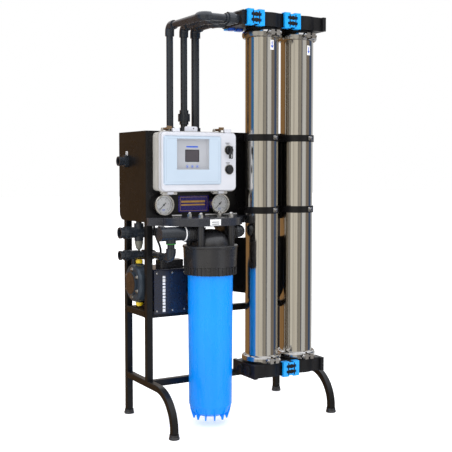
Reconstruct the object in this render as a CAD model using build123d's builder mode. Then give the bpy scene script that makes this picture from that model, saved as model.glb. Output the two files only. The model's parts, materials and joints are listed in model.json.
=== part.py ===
from build123d import *
import os
from math import radians, sin, cos

# Free-standing reverse osmosis unit for commercial water treatment.
# Millimetres, +Z up, -Y is the operator's side, origin on the floor at the centre of the footprint.

os.makedirs("parts", exist_ok=True)

# ---------------------------------------------------------------- driving dimensions
# Frame of square steel tube
tube = 20.0
tube_wall = 1.5
tube_corner = 2.5
left_x, right_x = -258.5, 308.5
rear_y, front_y, foot_y = 147.5, -2.5, -171.5
bar_z, rail_z = 127.0, 340.0
leg_bend = 105.0
rear_post_top, front_post_top = 770.0, 890.0
foot_radius, foot_height, foot_floor = 16.0, 14.0, 5.0

# Sheet-metal cabinet cowl and filter shelf
sheet = 1.5
cowl_front = front_y - tube / 2 - sheet
cowl_rear = 187.5
cowl_left = left_x - tube / 2 - sheet
cowl_right = right_x + tube / 2 + sheet
cowl_bottom, cowl_top = 622.0, 899.0
shelf_top, shelf_height, shelf_sheet = 637.0, 24.0, 2.5
shelf_right, shelf_end_y, shelf_wing_y, shelf_nose_y = 82.5, -26.0, -44.0, -148.0
shelf_bow_half = 137.0

# Control box on the front of the cowl
box_x, box_z = -120.5, 806.0
box_width, box_height, box_corner = 258.0, 180.0, 14.0
box_wall, box_rim = 3.0, 2.0
seam_y, lid_front_y = -54.0, -78.0
seam_gap = 0.3
window_left, window_right, window_low, window_high = -244.0, -48.0, 736.5, 883.0
window_thickness = 3.0
display_x, display_z, display_width, display_height = -145.0, 828.0, 110.0, 92.0
display_depth = 6.0
screen_x, screen_z, screen_width, screen_height = -144.3, 823.5, 46.0, 35.0
key_z, key_pitch, key_radius = 791.5, 17.0, 4.2
knob_x, knob_z = -20.6, 842.0
button_x, button_z = -18.7, 782.0
hinge_x = (-213.5, -39.5)
hinge_y, hinge_z, hinge_pin_radius, knuckle_radius = -56.0, 711.0, 2.0, 4.5
latch_x = (-222.0, -44.0)
latch_y, latch_z = -46.0, 903.5

# Pressure gauges below the control box
gauge_x = (-219.8, -25.3)
gauge_z = 675.0
gauge_face_y = -40.0
gauge_radius = 32.5

# Twenty-inch sediment filter hung below the shelf
filter_x, filter_y = -90.0, -86.0
filter_bolt_dx, filter_bolt_dy = 52.0, 36.0
cap_rim_z, cap_ring_z, cap_bottom_z = 553.0, 490.0, 465.0
cap_radius = 84.8
sump_top_radius, sump_low_radius, sump_wall = 69.2, 65.8, 4.0
sump_neck_z, sump_shoulder_z, sump_bottom_z, fin_bottom_z = 520.0, 66.0, 34.0, 22.0
filter_pipe_z = 591.0

# Booster pump between the left posts
pump_y, pump_z = 67.0, 431.0
pump_head_radius = 58.5
discharge_y = 102.5

# Membrane vessels: two 4 x 40 inch housings
vessel_x = (98.1, 230.8)
vessel_y, vessel_radius, vessel_wall = -82.5, 52.0, 2.0
vessel_pitch = vessel_x[1] - vessel_x[0]
joint_low_z, joint_high_z = 187.0, 1200.0
vessel_flange_radius, vessel_flange = 57.5, 3.5
block_half_depth = 65.0
block_seam = 0.4
low_block, high_block = (133.0, 175.5), (1219.0, 1262.0)
strap_z = (655.4, 880.7)

# Pipework
riser_x = (-131.0, -80.5, -38.8)
riser_radius = (11.0, 11.0, 13.0)
riser_front_y = (-116.0, -76.0, -36.0)
riser_y, riser_z, riser_base_z = 102.5, 1236.0, 840.0
port_y, drain_z, inlet_z = 64.5, 588.0, 519.0
port_end_x = -324.5
panel_port_y, panel_port_z = 128.0, 808.0
panel_port_tip, panel_port_tail = -300.0, -245.0

panel = Plane.XZ.offset(-cowl_front)


def front_plane(y):
    """Plane facing the operator at depth y, with X and Z as its own axes."""
    return Plane.XZ.offset(-y)


def side_plane(x):
    """Plane facing +X at x, with Y and Z as its own axes."""
    return Plane.YZ.offset(x)


def upright(x, y):
    """Plane through a vertical axis at (x, y), for turned profiles of radius and height."""
    return Plane(origin=(x, y, 0), x_dir=(1, 0, 0), z_dir=(0, -1, 0))


def vertical(x, y):
    """Vertical axis at (x, y)."""
    return Axis((x, y, 0), (0, 0, 1))


def tube_section():
    """Square tube section in the current sketch."""
    RectangleRounded(tube, tube, tube_corner)
    inner = tube - 2 * tube_wall
    RectangleRounded(inner, inner, tube_corner - tube_wall, mode=Mode.SUBTRACT)


def pipe_run(points, radius, bend):
    """Round pipe along straight runs joined by tangent bends."""
    first = Vector(*points[0])
    heading = Vector(*points[1]) - first
    with BuildLine() as route:
        if len(points) > 2:
            FilletPolyline(*points, radius=bend)
        else:
            Line(*points)
    with BuildSketch(Plane(origin=first, z_dir=heading)) as section:
        Circle(radius)
    sweep(section.sketch, path=route.line)


def elbow(corner, toward_a, toward_b, reach, radius, bend):
    """Elbow fitting at a corner, with a socket reaching out along each of its two directions."""
    start = Vector(*corner) + Vector(*toward_a) * reach
    end = Vector(*corner) + Vector(*toward_b) * reach
    pipe_run([tuple(start), tuple(corner), tuple(end)], radius, bend)


def collar(start, direction, length, radius, mode=Mode.ADD):
    """Cylinder from a start point along a direction, such as a socket, or a bore if it is subtracted."""
    with BuildSketch(Plane(origin=start, z_dir=direction)) as section:
        Circle(radius)
    extrude(section.sketch, amount=length, mode=mode)


def union_nut(start, direction, length, radius):
    """Ribbed octagonal union nut from a start point along a direction."""
    with BuildSketch(Plane(origin=start, z_dir=direction)) as section:
        RegularPolygon(radius, 8)
        Circle(radius * 0.96)
    extrude(section.sketch, amount=length)


# ---------------------------------------------------------------- frame
with BuildPart() as posts:
    with BuildSketch(Plane.XY.offset(foot_floor)):
        with Locations((left_x, rear_y), (right_x, rear_y)):
            tube_section()
    extrude(amount=rear_post_top - foot_floor)
    with BuildSketch(Plane.XY.offset(bar_z + tube / 2)):
        with Locations((left_x, front_y), (right_x, front_y)):
            tube_section()
    extrude(amount=front_post_top - bar_z - tube / 2)
posts.part.label = "posts"
export_step(posts.part, "parts/posts.step")


def leg(x):
    """Side bar that runs forward from the rear post and bends down to the front foot."""
    start = rear_y - tube / 2
    with BuildLine(side_plane(x)) as route:
        FilletPolyline((start, bar_z), (foot_y, bar_z), (foot_y, foot_floor), radius=leg_bend)
    with BuildSketch(Plane(origin=(x, start, bar_z), x_dir=(1, 0, 0), z_dir=(0, -1, 0))) as section:
        tube_section()
    sweep(section.sketch, path=route.line)


with BuildPart() as side_legs:
    for x in (left_x, right_x):
        leg(x)
side_legs.part.label = "side_legs"
export_step(side_legs.part, "parts/side_legs.step")

with BuildPart() as crossbars:
    with BuildSketch(side_plane(left_x + tube / 2)):
        with Locations((front_y, bar_z), (front_y, rail_z)):
            tube_section()
    extrude(amount=right_x - left_x - tube)
    with BuildSketch(front_plane(rear_y - tube / 2)):
        with Locations((left_x, rail_z), (right_x, rail_z)):
            tube_section()
    extrude(amount=rear_y - front_y - tube)
crossbars.part.label = "crossbars"
export_step(crossbars.part, "parts/crossbars.step")

with BuildPart() as foot_caps:
    for x in (left_x, right_x):
        for y in (rear_y, foot_y):
            with BuildSketch(upright(x, y)):
                with BuildLine():
                    Polyline(
                        (0, 0), (foot_radius - 1, 0), (foot_radius, 1), (foot_radius, 5),
                        (foot_radius - 1.2, 6.5), (foot_radius - 1.6, foot_height), (0, foot_height), (0, 0),
                    )
                make_face()
            revolve(axis=vertical(x, y))
    with BuildSketch(Plane.XY.offset(foot_floor)):
        with Locations(*[(x, y) for x in (left_x, right_x) for y in (rear_y, foot_y)]):
            Rectangle(tube + 0.2, tube + 0.2)
    extrude(amount=foot_height, mode=Mode.SUBTRACT)
foot_caps.part.label = "foot_caps"
export_step(foot_caps.part, "parts/foot_caps.step")

# ---------------------------------------------------------------- cabinet cowl, shelf and plate
cowl_width = cowl_right - cowl_left
cowl_depth = cowl_rear - cowl_front
cowl_mid = ((cowl_left + cowl_right) / 2, (cowl_front + cowl_rear) / 2)
cowl_lower_corner = 28.0
port_thread_radius = 13.0
stem_radius = 7.0

with BuildPart() as cabinet_cowl:
    with BuildSketch(Plane.XY.offset(cowl_bottom)):
        with Locations(cowl_mid):
            Rectangle(cowl_width, cowl_depth)
        with Locations((cowl_mid[0], cowl_mid[1] + sheet)):
            Rectangle(cowl_width - 2 * sheet, cowl_depth, mode=Mode.SUBTRACT)
        fillet(vertices().group_by(Axis.Y)[0], tube_corner + sheet)
    extrude(amount=cowl_top - cowl_bottom)
    rear_edges = edges().filter_by(Axis.X).group_by(Axis.Z)[0].group_by(Axis.Y)[-1]
    fillet(rear_edges, cowl_lower_corner)
    with BuildSketch(side_plane(cowl_left)):
        with Locations((panel_port_y, panel_port_z)):
            Circle(port_thread_radius + 0.2)
    extrude(amount=sheet, mode=Mode.SUBTRACT)
    with BuildSketch(panel):
        with Locations(*[(x, gauge_z) for x in gauge_x]):
            Circle(stem_radius + 0.2)
    extrude(amount=-sheet, mode=Mode.SUBTRACT)
cabinet_cowl.part.label = "cabinet_cowl"
export_step(cabinet_cowl.part, "parts/cabinet_cowl.step")


def shelf_outline(inset):
    """Plan of the filter shelf: straight back along the cowl and a bowed front."""
    left = cowl_left + 1 + inset
    right = shelf_right - inset
    back = cowl_front - inset
    middle = (left + right) / 2
    bow = shelf_bow_half - inset
    wing_y = shelf_wing_y + inset
    with BuildLine() as outline:
        Polyline((middle - bow, wing_y), (left, shelf_end_y), (left, back), (right, back),
                 (right, shelf_end_y), (middle + bow, wing_y))
        ThreePointArc((middle + bow, wing_y), (middle, shelf_nose_y + inset), (middle - bow, wing_y))
    make_face(outline.edges())


filter_bolts_at = [
    (filter_x + sx * filter_bolt_dx, filter_y + sy * filter_bolt_dy) for sx in (-1, 1) for sy in (-1, 1)
]
bolt_radius, nut_radius, washer_radius = 4.0, 7.5, 9.5

with BuildPart() as filter_shelf:
    with BuildSketch(Plane.XY.offset(shelf_top - shelf_height)):
        shelf_outline(0)
    extrude(amount=shelf_height)
    fillet(edges().group_by(Axis.Z)[-1].sort_by(SortBy.LENGTH)[-1], 2)
    with BuildSketch(Plane.XY.offset(shelf_top - shelf_height)):
        shelf_outline(shelf_sheet)
    extrude(amount=shelf_height - shelf_sheet, mode=Mode.SUBTRACT)
    with BuildSketch(Plane.XY.offset(shelf_top)):
        with Locations(*filter_bolts_at):
            Circle(bolt_radius + 0.3)
    extrude(amount=-shelf_sheet, mode=Mode.SUBTRACT)
filter_shelf.part.label = "filter_shelf"
export_step(filter_shelf.part, "parts/filter_shelf.step")

plate_left, plate_top, plate_slope_z, plate_slope_x = 41.5, 562.0, 389.0, 262.0
plate_back = front_y + tube / 2

with BuildPart() as equipment_plate:
    with BuildSketch(front_plane(plate_back)):
        with BuildLine():
            Polyline(
                (plate_left, plate_top),
                (right_x + tube / 2, plate_top),
                (right_x + tube / 2, rail_z + tube / 2),
                (right_x - tube / 2, rail_z + tube / 2),
                (right_x - tube / 2, rail_z - tube / 2),
                (plate_slope_x, rail_z - tube / 2),
                (plate_slope_x, rail_z + tube / 2),
                (plate_left, plate_slope_z),
                close=True,
            )
        make_face()
    extrude(amount=-2)
    with BuildSketch(front_plane(plate_back + 2)):
        with Locations((plate_left + 1, (plate_top + plate_slope_z) / 2)):
            Rectangle(2, plate_top - plate_slope_z - 2)
    extrude(amount=-16)
equipment_plate.part.label = "equipment_plate"
export_step(equipment_plate.part, "parts/equipment_plate.step")

# ---------------------------------------------------------------- control box
box_mid = (box_x, box_z)
base_depth = cowl_front - seam_y
rim_depth = 8.0
ear_inner, ear_outer, ear_depth = 9.0, 12.0, 12.0
box_top = box_z + box_height / 2
box_bottom = box_z - box_height / 2
hinge_half, lid_knuckle_half = 24.0, 9.5


def box_section(inset):
    """Rounded outline of the control box, drawn in by an inset."""
    with Locations(box_mid):
        RectangleRounded(box_width - 2 * inset, box_height - 2 * inset, box_corner - inset)


def knuckle(x_from, x_to, reach, bore):
    """Hinge knuckle from x_from to x_to, with a web towards the box wall."""
    with BuildSketch(side_plane(x_from)) as section:
        with Locations((hinge_y, hinge_z)):
            Circle(knuckle_radius)
        with Locations((hinge_y + reach / 2, hinge_z + 1.5)):
            Rectangle(abs(reach), 7)
        with Locations((hinge_y, hinge_z)):
            Circle(bore, mode=Mode.SUBTRACT)
    extrude(section.sketch, amount=x_to - x_from)


with BuildPart() as box_base:
    with BuildSketch(panel):
        box_section(box_rim)
    extrude(amount=base_depth)
    with BuildSketch(front_plane(seam_y + rim_depth)):
        box_section(0)
    extrude(amount=rim_depth)
    with BuildSketch(front_plane(cowl_front - box_wall)):
        box_section(box_rim + box_wall)
    extrude(amount=base_depth, mode=Mode.SUBTRACT)
    for x in latch_x:
        for side in (-1, 1):
            middle = x + side * (ear_inner + ear_outer) / 2
            with BuildSketch(side_plane(middle - 1.5)):
                with Locations((latch_y, (box_top + latch_z) / 2)):
                    Rectangle(ear_depth, latch_z - box_top + 2)
                with Locations((latch_y, latch_z)):
                    Circle(4)
                    Circle(1.62, mode=Mode.SUBTRACT)
            extrude(amount=3)
    for x in hinge_x:
        knuckle(x - hinge_half, x - lid_knuckle_half - 0.5, 12, hinge_pin_radius + 0.02)
        knuckle(x + lid_knuckle_half + 0.5, x + hinge_half, 12, hinge_pin_radius + 0.02)
box_base.part.label = "box_base"
export_step(box_base.part, "parts/box_base.step")

lid_back = seam_y - 2 * seam_gap
gasket_width, gasket_depth, gasket_inset = 3.0, 2.0, 3.0
panel_margin = 2.0
knob_hole, button_hole = 9.0, 12.0
hasp_x, hasp_width, hasp_top = -141.5, 42.0, 912.0

with BuildPart() as box_lid:
    with BuildSketch(front_plane(lid_back)):
        box_section(0)
    extrude(amount=rim_depth)
    with BuildSketch(front_plane(lid_back - rim_depth)):
        box_section(box_rim)
    extrude(amount=lid_back - rim_depth - lid_front_y)
    fillet(faces().sort_by(Axis.Y)[0].edges(), 2.5)
    with BuildSketch(front_plane(lid_back)):
        box_section(box_rim + gasket_width + gasket_inset)
    extrude(amount=lid_back - lid_front_y - box_wall, mode=Mode.SUBTRACT)
    with BuildSketch(front_plane(lid_back)):
        box_section(gasket_inset)
        with Locations(box_mid):
            RectangleRounded(
                box_width - 2 * (gasket_inset + gasket_width),
                box_height - 2 * (gasket_inset + gasket_width),
                box_corner - gasket_inset - gasket_width,
                mode=Mode.SUBTRACT,
            )
    extrude(amount=gasket_depth, mode=Mode.SUBTRACT)
    with BuildSketch(front_plane(lid_front_y)):
        with Locations((display_x, display_z)):
            Rectangle(display_width + 2 * panel_margin, display_height + 2 * panel_margin)
        with Locations((knob_x, knob_z)):
            Circle(knob_hole)
        with Locations((button_x, button_z)):
            Circle(button_hole)
    extrude(amount=-2 * box_wall, mode=Mode.SUBTRACT)
    with BuildSketch(front_plane(lid_back - 2)):
        with Locations((hasp_x, (box_top + hasp_top) / 2 - 1)):
            Rectangle(hasp_width, hasp_top - box_top + 2)
        fillet(vertices().group_by(Axis.Z)[-1], 5)
        with Locations((hasp_x + 8, hasp_top - 6)):
            Circle(2.5, mode=Mode.SUBTRACT)
    extrude(amount=5)
    for x in hinge_x:
        knuckle(x - lid_knuckle_half, x + lid_knuckle_half, -10, hinge_pin_radius + 0.06)
box_lid.part.label = "box_lid"
export_step(box_lid.part, "parts/box_lid.step")

with BuildPart() as lid_gasket:
    with BuildSketch(front_plane(seam_y - seam_gap)):
        box_section(gasket_inset)
        with Locations(box_mid):
            RectangleRounded(
                box_width - 2 * (gasket_inset + gasket_width),
                box_height - 2 * (gasket_inset + gasket_width),
                box_corner - gasket_inset - gasket_width,
                mode=Mode.SUBTRACT,
            )
    extrude(amount=gasket_depth + seam_gap)
lid_gasket.part.label = "lid_gasket"
export_step(lid_gasket.part, "parts/lid_gasket.step")

with BuildPart() as lid_window:
    with BuildSketch(front_plane(lid_front_y)):
        with Locations(((window_left + window_right) / 2, (window_low + window_high) / 2)):
            RectangleRounded(window_right - window_left, window_high - window_low, 7)
    extrude(amount=window_thickness)
    fillet(faces().sort_by(Axis.Y)[0].edges(), 1.5)
    with BuildSketch(front_plane(lid_front_y)):
        with Locations((display_x, display_z)):
            Rectangle(display_width, display_height)
    extrude(amount=window_thickness, mode=Mode.SUBTRACT)
lid_window.part.label = "lid_window"
export_step(lid_window.part, "parts/lid_window.step")

display_floor = lid_front_y + display_depth
key_x = [screen_x + step * key_pitch for step in (-1, 0, 1)]

with BuildPart() as display_panel:
    with BuildSketch(front_plane(lid_front_y)):
        with Locations((display_x, display_z)):
            Rectangle(display_width + 2 * panel_margin, display_height + 2 * panel_margin)
    extrude(amount=-display_depth - 2)
    with BuildSketch(front_plane(lid_front_y)):
        with Locations((display_x, display_z)):
            Rectangle(display_width, display_height)
    extrude(amount=-display_depth, taper=35, mode=Mode.SUBTRACT)
    with BuildSketch(front_plane(display_floor)):
        with Locations((screen_x, screen_z)):
            Rectangle(screen_width, screen_height)
        with Locations(*[(x, key_z) for x in key_x]):
            Circle(key_radius + 0.3)
    extrude(amount=-2, mode=Mode.SUBTRACT)
display_panel.part.label = "display_panel"
export_step(display_panel.part, "parts/display_panel.step")

with BuildPart() as display_screen:
    with BuildSketch(front_plane(display_floor - 0.3)):
        with Locations((screen_x, screen_z)):
            Rectangle(screen_width, screen_height)
    extrude(amount=-3.3)
display_screen.part.label = "display_screen"
export_step(display_screen.part, "parts/display_screen.step")

for key_name, x in zip(("left", "middle", "right"), key_x):
    with BuildPart() as key:
        with BuildSketch(front_plane(display_floor - 1.4)):
            with Locations((x, key_z)):
                Circle(key_radius)
        extrude(amount=-3.2)
        fillet(faces().sort_by(Axis.Y)[0].edges(), 0.6)
    key.part.label = f"key_{key_name}"
    export_step(key.part, f"parts/key_{key_name}.step")

board_front = display_floor + 5.5
board_width, board_height, board_thickness = 100.0, 84.0, 1.6
relay_width, relay_height, relay_depth = 26.0, 18.0, 6.0

with BuildPart() as control_board:
    with BuildSketch(front_plane(board_front)):
        with Locations((display_x, display_z)):
            Rectangle(board_width, board_height)
    extrude(amount=-board_thickness)
    with BuildSketch(front_plane(board_front + board_thickness)):
        with Locations((display_x - 30, display_z + 20), (display_x + 32, display_z - 24)):
            Rectangle(relay_width, relay_height)
    extrude(amount=-relay_depth)
control_board.part.label = "control_board"
export_step(control_board.part, "parts/control_board.step")

bezel_front = lid_front_y - 4
shaft_radius, knob_radius, cap_push_radius = 5.0, 10.5, 10.6
knob_bezel_radius, button_bezel_radius = 13.0, 14.0

with BuildPart() as control_bezels:
    with BuildSketch(front_plane(lid_front_y)):
        with Locations((knob_x, knob_z)):
            Circle(knob_bezel_radius)
        with Locations((button_x, button_z)):
            Circle(button_bezel_radius)
    extrude(amount=4)
    fillet(faces().sort_by(Axis.Y)[0].edges(), 1.2)
    with BuildSketch(front_plane(lid_front_y)):
        with Locations((knob_x, knob_z)):
            Circle(knob_hole)
        with Locations((button_x, button_z)):
            Circle(button_hole)
    extrude(amount=-7)
    with BuildSketch(front_plane(bezel_front)):
        with Locations((knob_x, knob_z)):
            Circle(shaft_radius + 0.35)
        with Locations((button_x, button_z)):
            Circle(cap_push_radius + 0.35)
    extrude(amount=-11, mode=Mode.SUBTRACT)
control_bezels.part.label = "control_bezels"
export_step(control_bezels.part, "parts/control_bezels.step")

knob_grip_high, knob_grip_low, knob_grip_width = 11.0, 27.0, 9.0

with BuildPart() as selector_knob:
    with BuildSketch(front_plane(bezel_front + 14)):
        with Locations((knob_x, knob_z)):
            Circle(shaft_radius)
    extrude(amount=15)
    with BuildSketch(front_plane(bezel_front - 0.4)):
        with Locations((knob_x, knob_z)):
            Circle(knob_radius)
    extrude(amount=7)
    with BuildSketch(front_plane(bezel_front - 5)):
        with Locations((knob_x, knob_z + (knob_grip_high - knob_grip_low) / 2)):
            RectangleRounded(knob_grip_width, knob_grip_high + knob_grip_low, 2)
    extrude(amount=11)
    fillet(faces().sort_by(Axis.Y)[0].edges(), 1.2)
selector_knob.part.label = "selector_knob"
export_step(selector_knob.part, "parts/selector_knob.step")

with BuildPart() as push_button:
    with BuildSketch(front_plane(lid_front_y + 5)):
        with Locations((button_x, button_z)):
            Circle(cap_push_radius)
    extrude(amount=14)
    fillet(faces().sort_by(Axis.Y)[0].edges(), 1.5)
push_button.part.label = "push_button"
export_step(push_button.part, "parts/push_button.step")

with BuildPart() as hinge_pins:
    for x in hinge_x:
        with BuildSketch(side_plane(x - hinge_half)):
            with Locations((hinge_y, hinge_z)):
                Circle(hinge_pin_radius)
        extrude(amount=2 * hinge_half)
    for x in latch_x:
        with BuildSketch(side_plane(x - ear_outer)):
            with Locations((latch_y, latch_z)):
                Circle(1.6)
        extrude(amount=2 * ear_outer)
hinge_pins.part.label = "hinge_pins"
export_step(hinge_pins.part, "parts/hinge_pins.step")

latch_reach, latch_thickness = 25.0, 4.0

for latch_name, x in zip(("left", "right"), latch_x):
    with BuildPart() as latch:
        with BuildSketch(side_plane(x - ear_inner + 0.5)):
            with Locations((latch_y, latch_z)):
                Circle(3.8)
            with BuildLine():
                Polyline(
                    (latch_y, latch_z + 3.8),
                    (latch_y - latch_reach, latch_z + 3),
                    (latch_y - latch_reach - 3, latch_z + 8),
                    (latch_y - latch_reach - 5, latch_z + 7),
                    (latch_y - latch_reach - 2, latch_z - 1),
                    (latch_y, latch_z - 1),
                    close=True,
                )
            make_face()
            with Locations((latch_y, latch_z)):
                Circle(1.68, mode=Mode.SUBTRACT)
        extrude(amount=2 * ear_inner - 1)
    latch.part.label = f"latch_{latch_name}"
    export_step(latch.part, f"parts/latch_{latch_name}.step")

# ---------------------------------------------------------------- pressure gauges
gauge_at = [(x, gauge_z) for x in gauge_x]
dial_y = gauge_face_y + 11.2
dial_radius = 28.0

with BuildPart() as gauge_cases:
    with BuildSketch(front_plane(cowl_front + 20)):
        with Locations(*gauge_at):
            Circle(stem_radius)
    extrude(amount=22)
    with BuildSketch(front_plane(cowl_front - 1.5)):
        with Locations(*gauge_at):
            Circle(gauge_radius - 3)
    extrude(amount=cowl_front - gauge_face_y - 5)
    with BuildSketch(front_plane(gauge_face_y + 8)):
        with Locations(*gauge_at):
            Circle(gauge_radius)
    extrude(amount=8)
    fillet(faces().sort_by(Axis.Y)[:2].edges(), 2.4)
    with BuildSketch(front_plane(gauge_face_y)):
        with Locations(*gauge_at):
            Circle(dial_radius)
    extrude(amount=-12, mode=Mode.SUBTRACT)
gauge_cases.part.label = "gauge_cases"
export_step(gauge_cases.part, "parts/gauge_cases.step")

with BuildPart() as gauge_dials:
    with BuildSketch(front_plane(dial_y + 0.8)):
        with Locations(*gauge_at):
            Circle(dial_radius)
            Circle(1.6, mode=Mode.SUBTRACT)
    extrude(amount=0.8)
gauge_dials.part.label = "gauge_dials"
export_step(gauge_dials.part, "parts/gauge_dials.step")

with BuildPart() as gauge_glasses:
    with BuildSketch(front_plane(gauge_face_y + 3.5)):
        with Locations(*gauge_at):
            Circle(dial_radius)
    extrude(amount=1.8)
gauge_glasses.part.label = "gauge_glasses"
export_step(gauge_glasses.part, "parts/gauge_glasses.step")

needle_length, needle_tail, needle_zero = 22.0, 9.0, 225.0

for gauge_name, x in zip(("left", "right"), gauge_x):
    with BuildPart() as needle:
        with BuildSketch(Plane(origin=(x, dial_y - 2.2, gauge_z), x_dir=(1, 0, 0), z_dir=(0, -1, 0))):
            with BuildLine(mode=Mode.PRIVATE) as pointer:
                Polyline((-needle_tail, 1.5), (-needle_tail, -1.5), (0, -1.1), (needle_length, -0.3),
                         (needle_length, 0.3), (0, 1.1), close=True)
            add(make_face(pointer.edges(), mode=Mode.PRIVATE), rotation=needle_zero)
            Circle(3)
        extrude(amount=0.8)
        with BuildSketch(front_plane(dial_y + 0.6)):
            with Locations((x, gauge_z)):
                Circle(1.2)
        extrude(amount=3)
    needle.part.label = f"needle_{gauge_name}"
    export_step(needle.part, f"parts/needle_{gauge_name}.step")

# ---------------------------------------------------------------- filter housing
dome_top_z, dome_base_z, dome_rim_radius = 601.0, cap_rim_z + 2, 58.0
dome_bend = radians(48)
cap_bore, cap_neck_bore = 72.6, 66.0
column_radius = 10.5
port_boss_radius, port_bore, port_bore_length = 25.5, 16.6, 40.0
seal_land_z = 524.0
relief_head_z = 600.0
boss_start = 38.0
relief_y, relief_radius = filter_y + 38.0, 4.0
rib_count, bolt_hole_depth = 36, 40.0

with BuildPart() as filter_cap:
    with BuildSketch(upright(filter_x, filter_y)):
        with BuildLine():
            Polyline(
                (dome_rim_radius, dome_base_z), (cap_radius - 1, cap_rim_z), (cap_radius, cap_rim_z - 1),
                (cap_radius, cap_rim_z - 6), (cap_radius - 2, cap_rim_z - 8), (cap_radius - 4, cap_ring_z),
                (cap_radius - 6.5, cap_ring_z - 1), (cap_radius - 7, cap_bottom_z), (cap_bore, cap_bottom_z),
                (cap_bore, seal_land_z + 4), (0, seal_land_z + 4), (0, dome_top_z),
            )
            ThreePointArc(
                (0, dome_top_z),
                (dome_rim_radius * sin(dome_bend), dome_base_z + (dome_top_z - dome_base_z) * cos(dome_bend)),
                (dome_rim_radius, dome_base_z),
            )
        make_face()
    revolve(axis=vertical(filter_x, filter_y))
    with BuildSketch(Plane.XY.offset(cap_bottom_z)):
        with Locations((filter_x, filter_y)):
            with PolarLocations(cap_radius - 6, rib_count):
                RectangleRounded(4, 3.2, 1)
    extrude(amount=cap_ring_z - cap_bottom_z - 1)
    with BuildSketch(Plane.XY.offset(cap_rim_z - 2)):
        with Locations(*filter_bolts_at):
            Circle(column_radius)
    extrude(amount=shelf_top - shelf_sheet - cap_rim_z + 2)
    for side in (-1, 1):
        collar((filter_x + side * boss_start, filter_y, filter_pipe_z), (side, 0, 0),
               cap_radius - 2 - boss_start, port_boss_radius)
    with BuildSketch(upright(filter_x, filter_y)):
        with BuildLine():
            Polyline((0, seal_land_z + 3), (cap_neck_bore, seal_land_z + 3), (cap_neck_bore, seal_land_z + 6),
                     (dome_rim_radius - 14, cap_rim_z + 6), (0, dome_top_z - 19), close=True)
        make_face()
    revolve(axis=vertical(filter_x, filter_y), mode=Mode.SUBTRACT)
    for side in (-1, 1):
        collar((filter_x + side * cap_radius, filter_y, filter_pipe_z), (-side, 0, 0), port_bore_length,
               port_bore, Mode.SUBTRACT)
    with BuildSketch(Plane.XY.offset(cap_rim_z)):
        with Locations((filter_x, relief_y)):
            Circle(relief_radius + 0.4)
    extrude(amount=50, mode=Mode.SUBTRACT)
    with BuildSketch(Plane.XY.offset(shelf_top - shelf_sheet)):
        with Locations(*filter_bolts_at):
            Circle(bolt_radius + 0.02)
    extrude(amount=-bolt_hole_depth, mode=Mode.SUBTRACT)
filter_cap.part.label = "filter_cap"
export_step(filter_cap.part, "parts/filter_cap.step")

acorn_z, acorn_radius = shelf_top + 11, 6.4

with BuildPart() as filter_bolts:
    for x, y in filter_bolts_at:
        with BuildSketch(Plane.XY.offset(shelf_top - 34)):
            with Locations((x, y)):
                Circle(bolt_radius)
        extrude(amount=36)
        with BuildSketch(Plane.XY.offset(shelf_top)):
            with Locations((x, y)):
                Circle(washer_radius)
        extrude(amount=1.6)
        with BuildSketch(Plane.XY.offset(shelf_top + 1.6)):
            with Locations((x, y)):
                RegularPolygon(nut_radius, 6)
        extrude(amount=8)
        with BuildSketch(upright(x, y)):
            with BuildLine():
                Polyline((0, acorn_z - 2), (acorn_radius, acorn_z - 2), (acorn_radius, acorn_z))
                CenterArc((0, acorn_z), acorn_radius, 0, 90)
                Line((0, acorn_z + acorn_radius), (0, acorn_z - 2))
            make_face()
        revolve(axis=vertical(x, y))
filter_bolts.part.label = "filter_bolts"
export_step(filter_bolts.part, "parts/filter_bolts.step")

sump_rim_z = 522.0
fin_count, fin_thickness = 12, 3.0

with BuildPart() as sump:
    with BuildSketch(upright(filter_x, filter_y)):
        with BuildLine():
            Polyline(
                (0, sump_bottom_z), (44, sump_bottom_z), (57, sump_bottom_z + 9),
                (sump_low_radius, sump_shoulder_z), (sump_top_radius, cap_bottom_z - 2),
                (cap_bore - 0.5, cap_bottom_z + 3), (cap_bore - 0.5, sump_rim_z),
                (cap_neck_bore - 1, sump_rim_z), (sump_low_radius - sump_wall, cap_bottom_z - 6),
                (sump_low_radius - sump_wall - 2, sump_shoulder_z + 4), (52, sump_bottom_z + 15),
                (42, sump_bottom_z + sump_wall + 1), (0, sump_bottom_z + sump_wall + 1), close=True,
            )
        make_face()
    revolve(axis=vertical(filter_x, filter_y))
    for step in range(fin_count):
        turn = 360 * (step + 0.5) / fin_count
        with BuildSketch(
            Plane(
                origin=(filter_x, filter_y, 0),
                x_dir=(cos(radians(turn)), sin(radians(turn)), 0),
                z_dir=(sin(radians(turn)), -cos(radians(turn)), 0),
            )
        ):
            with BuildLine():
                Polyline(
                    (40, sump_bottom_z + 2), (47, sump_bottom_z - 4), (50, fin_bottom_z), (54, fin_bottom_z),
                    (sump_low_radius - 3.5, sump_bottom_z + 14), (sump_low_radius - 0.6, sump_shoulder_z - 2),
                    (56, sump_bottom_z + 12), close=True,
                )
            make_face()
        extrude(amount=fin_thickness / 2, both=True)
sump.part.label = "sump"
export_step(sump.part, "parts/sump.step")

with BuildPart() as sump_seal:
    with BuildSketch(upright(filter_x, filter_y)):
        with Locations((cap_neck_bore + 3.2, sump_rim_z + 2.4)):
            Circle(2.2)
    revolve(axis=vertical(filter_x, filter_y))
sump_seal.part.label = "sump_seal"
export_step(sump_seal.part, "parts/sump_seal.step")

cartridge_radius, cartridge_core = 56.0, 14.0

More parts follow.
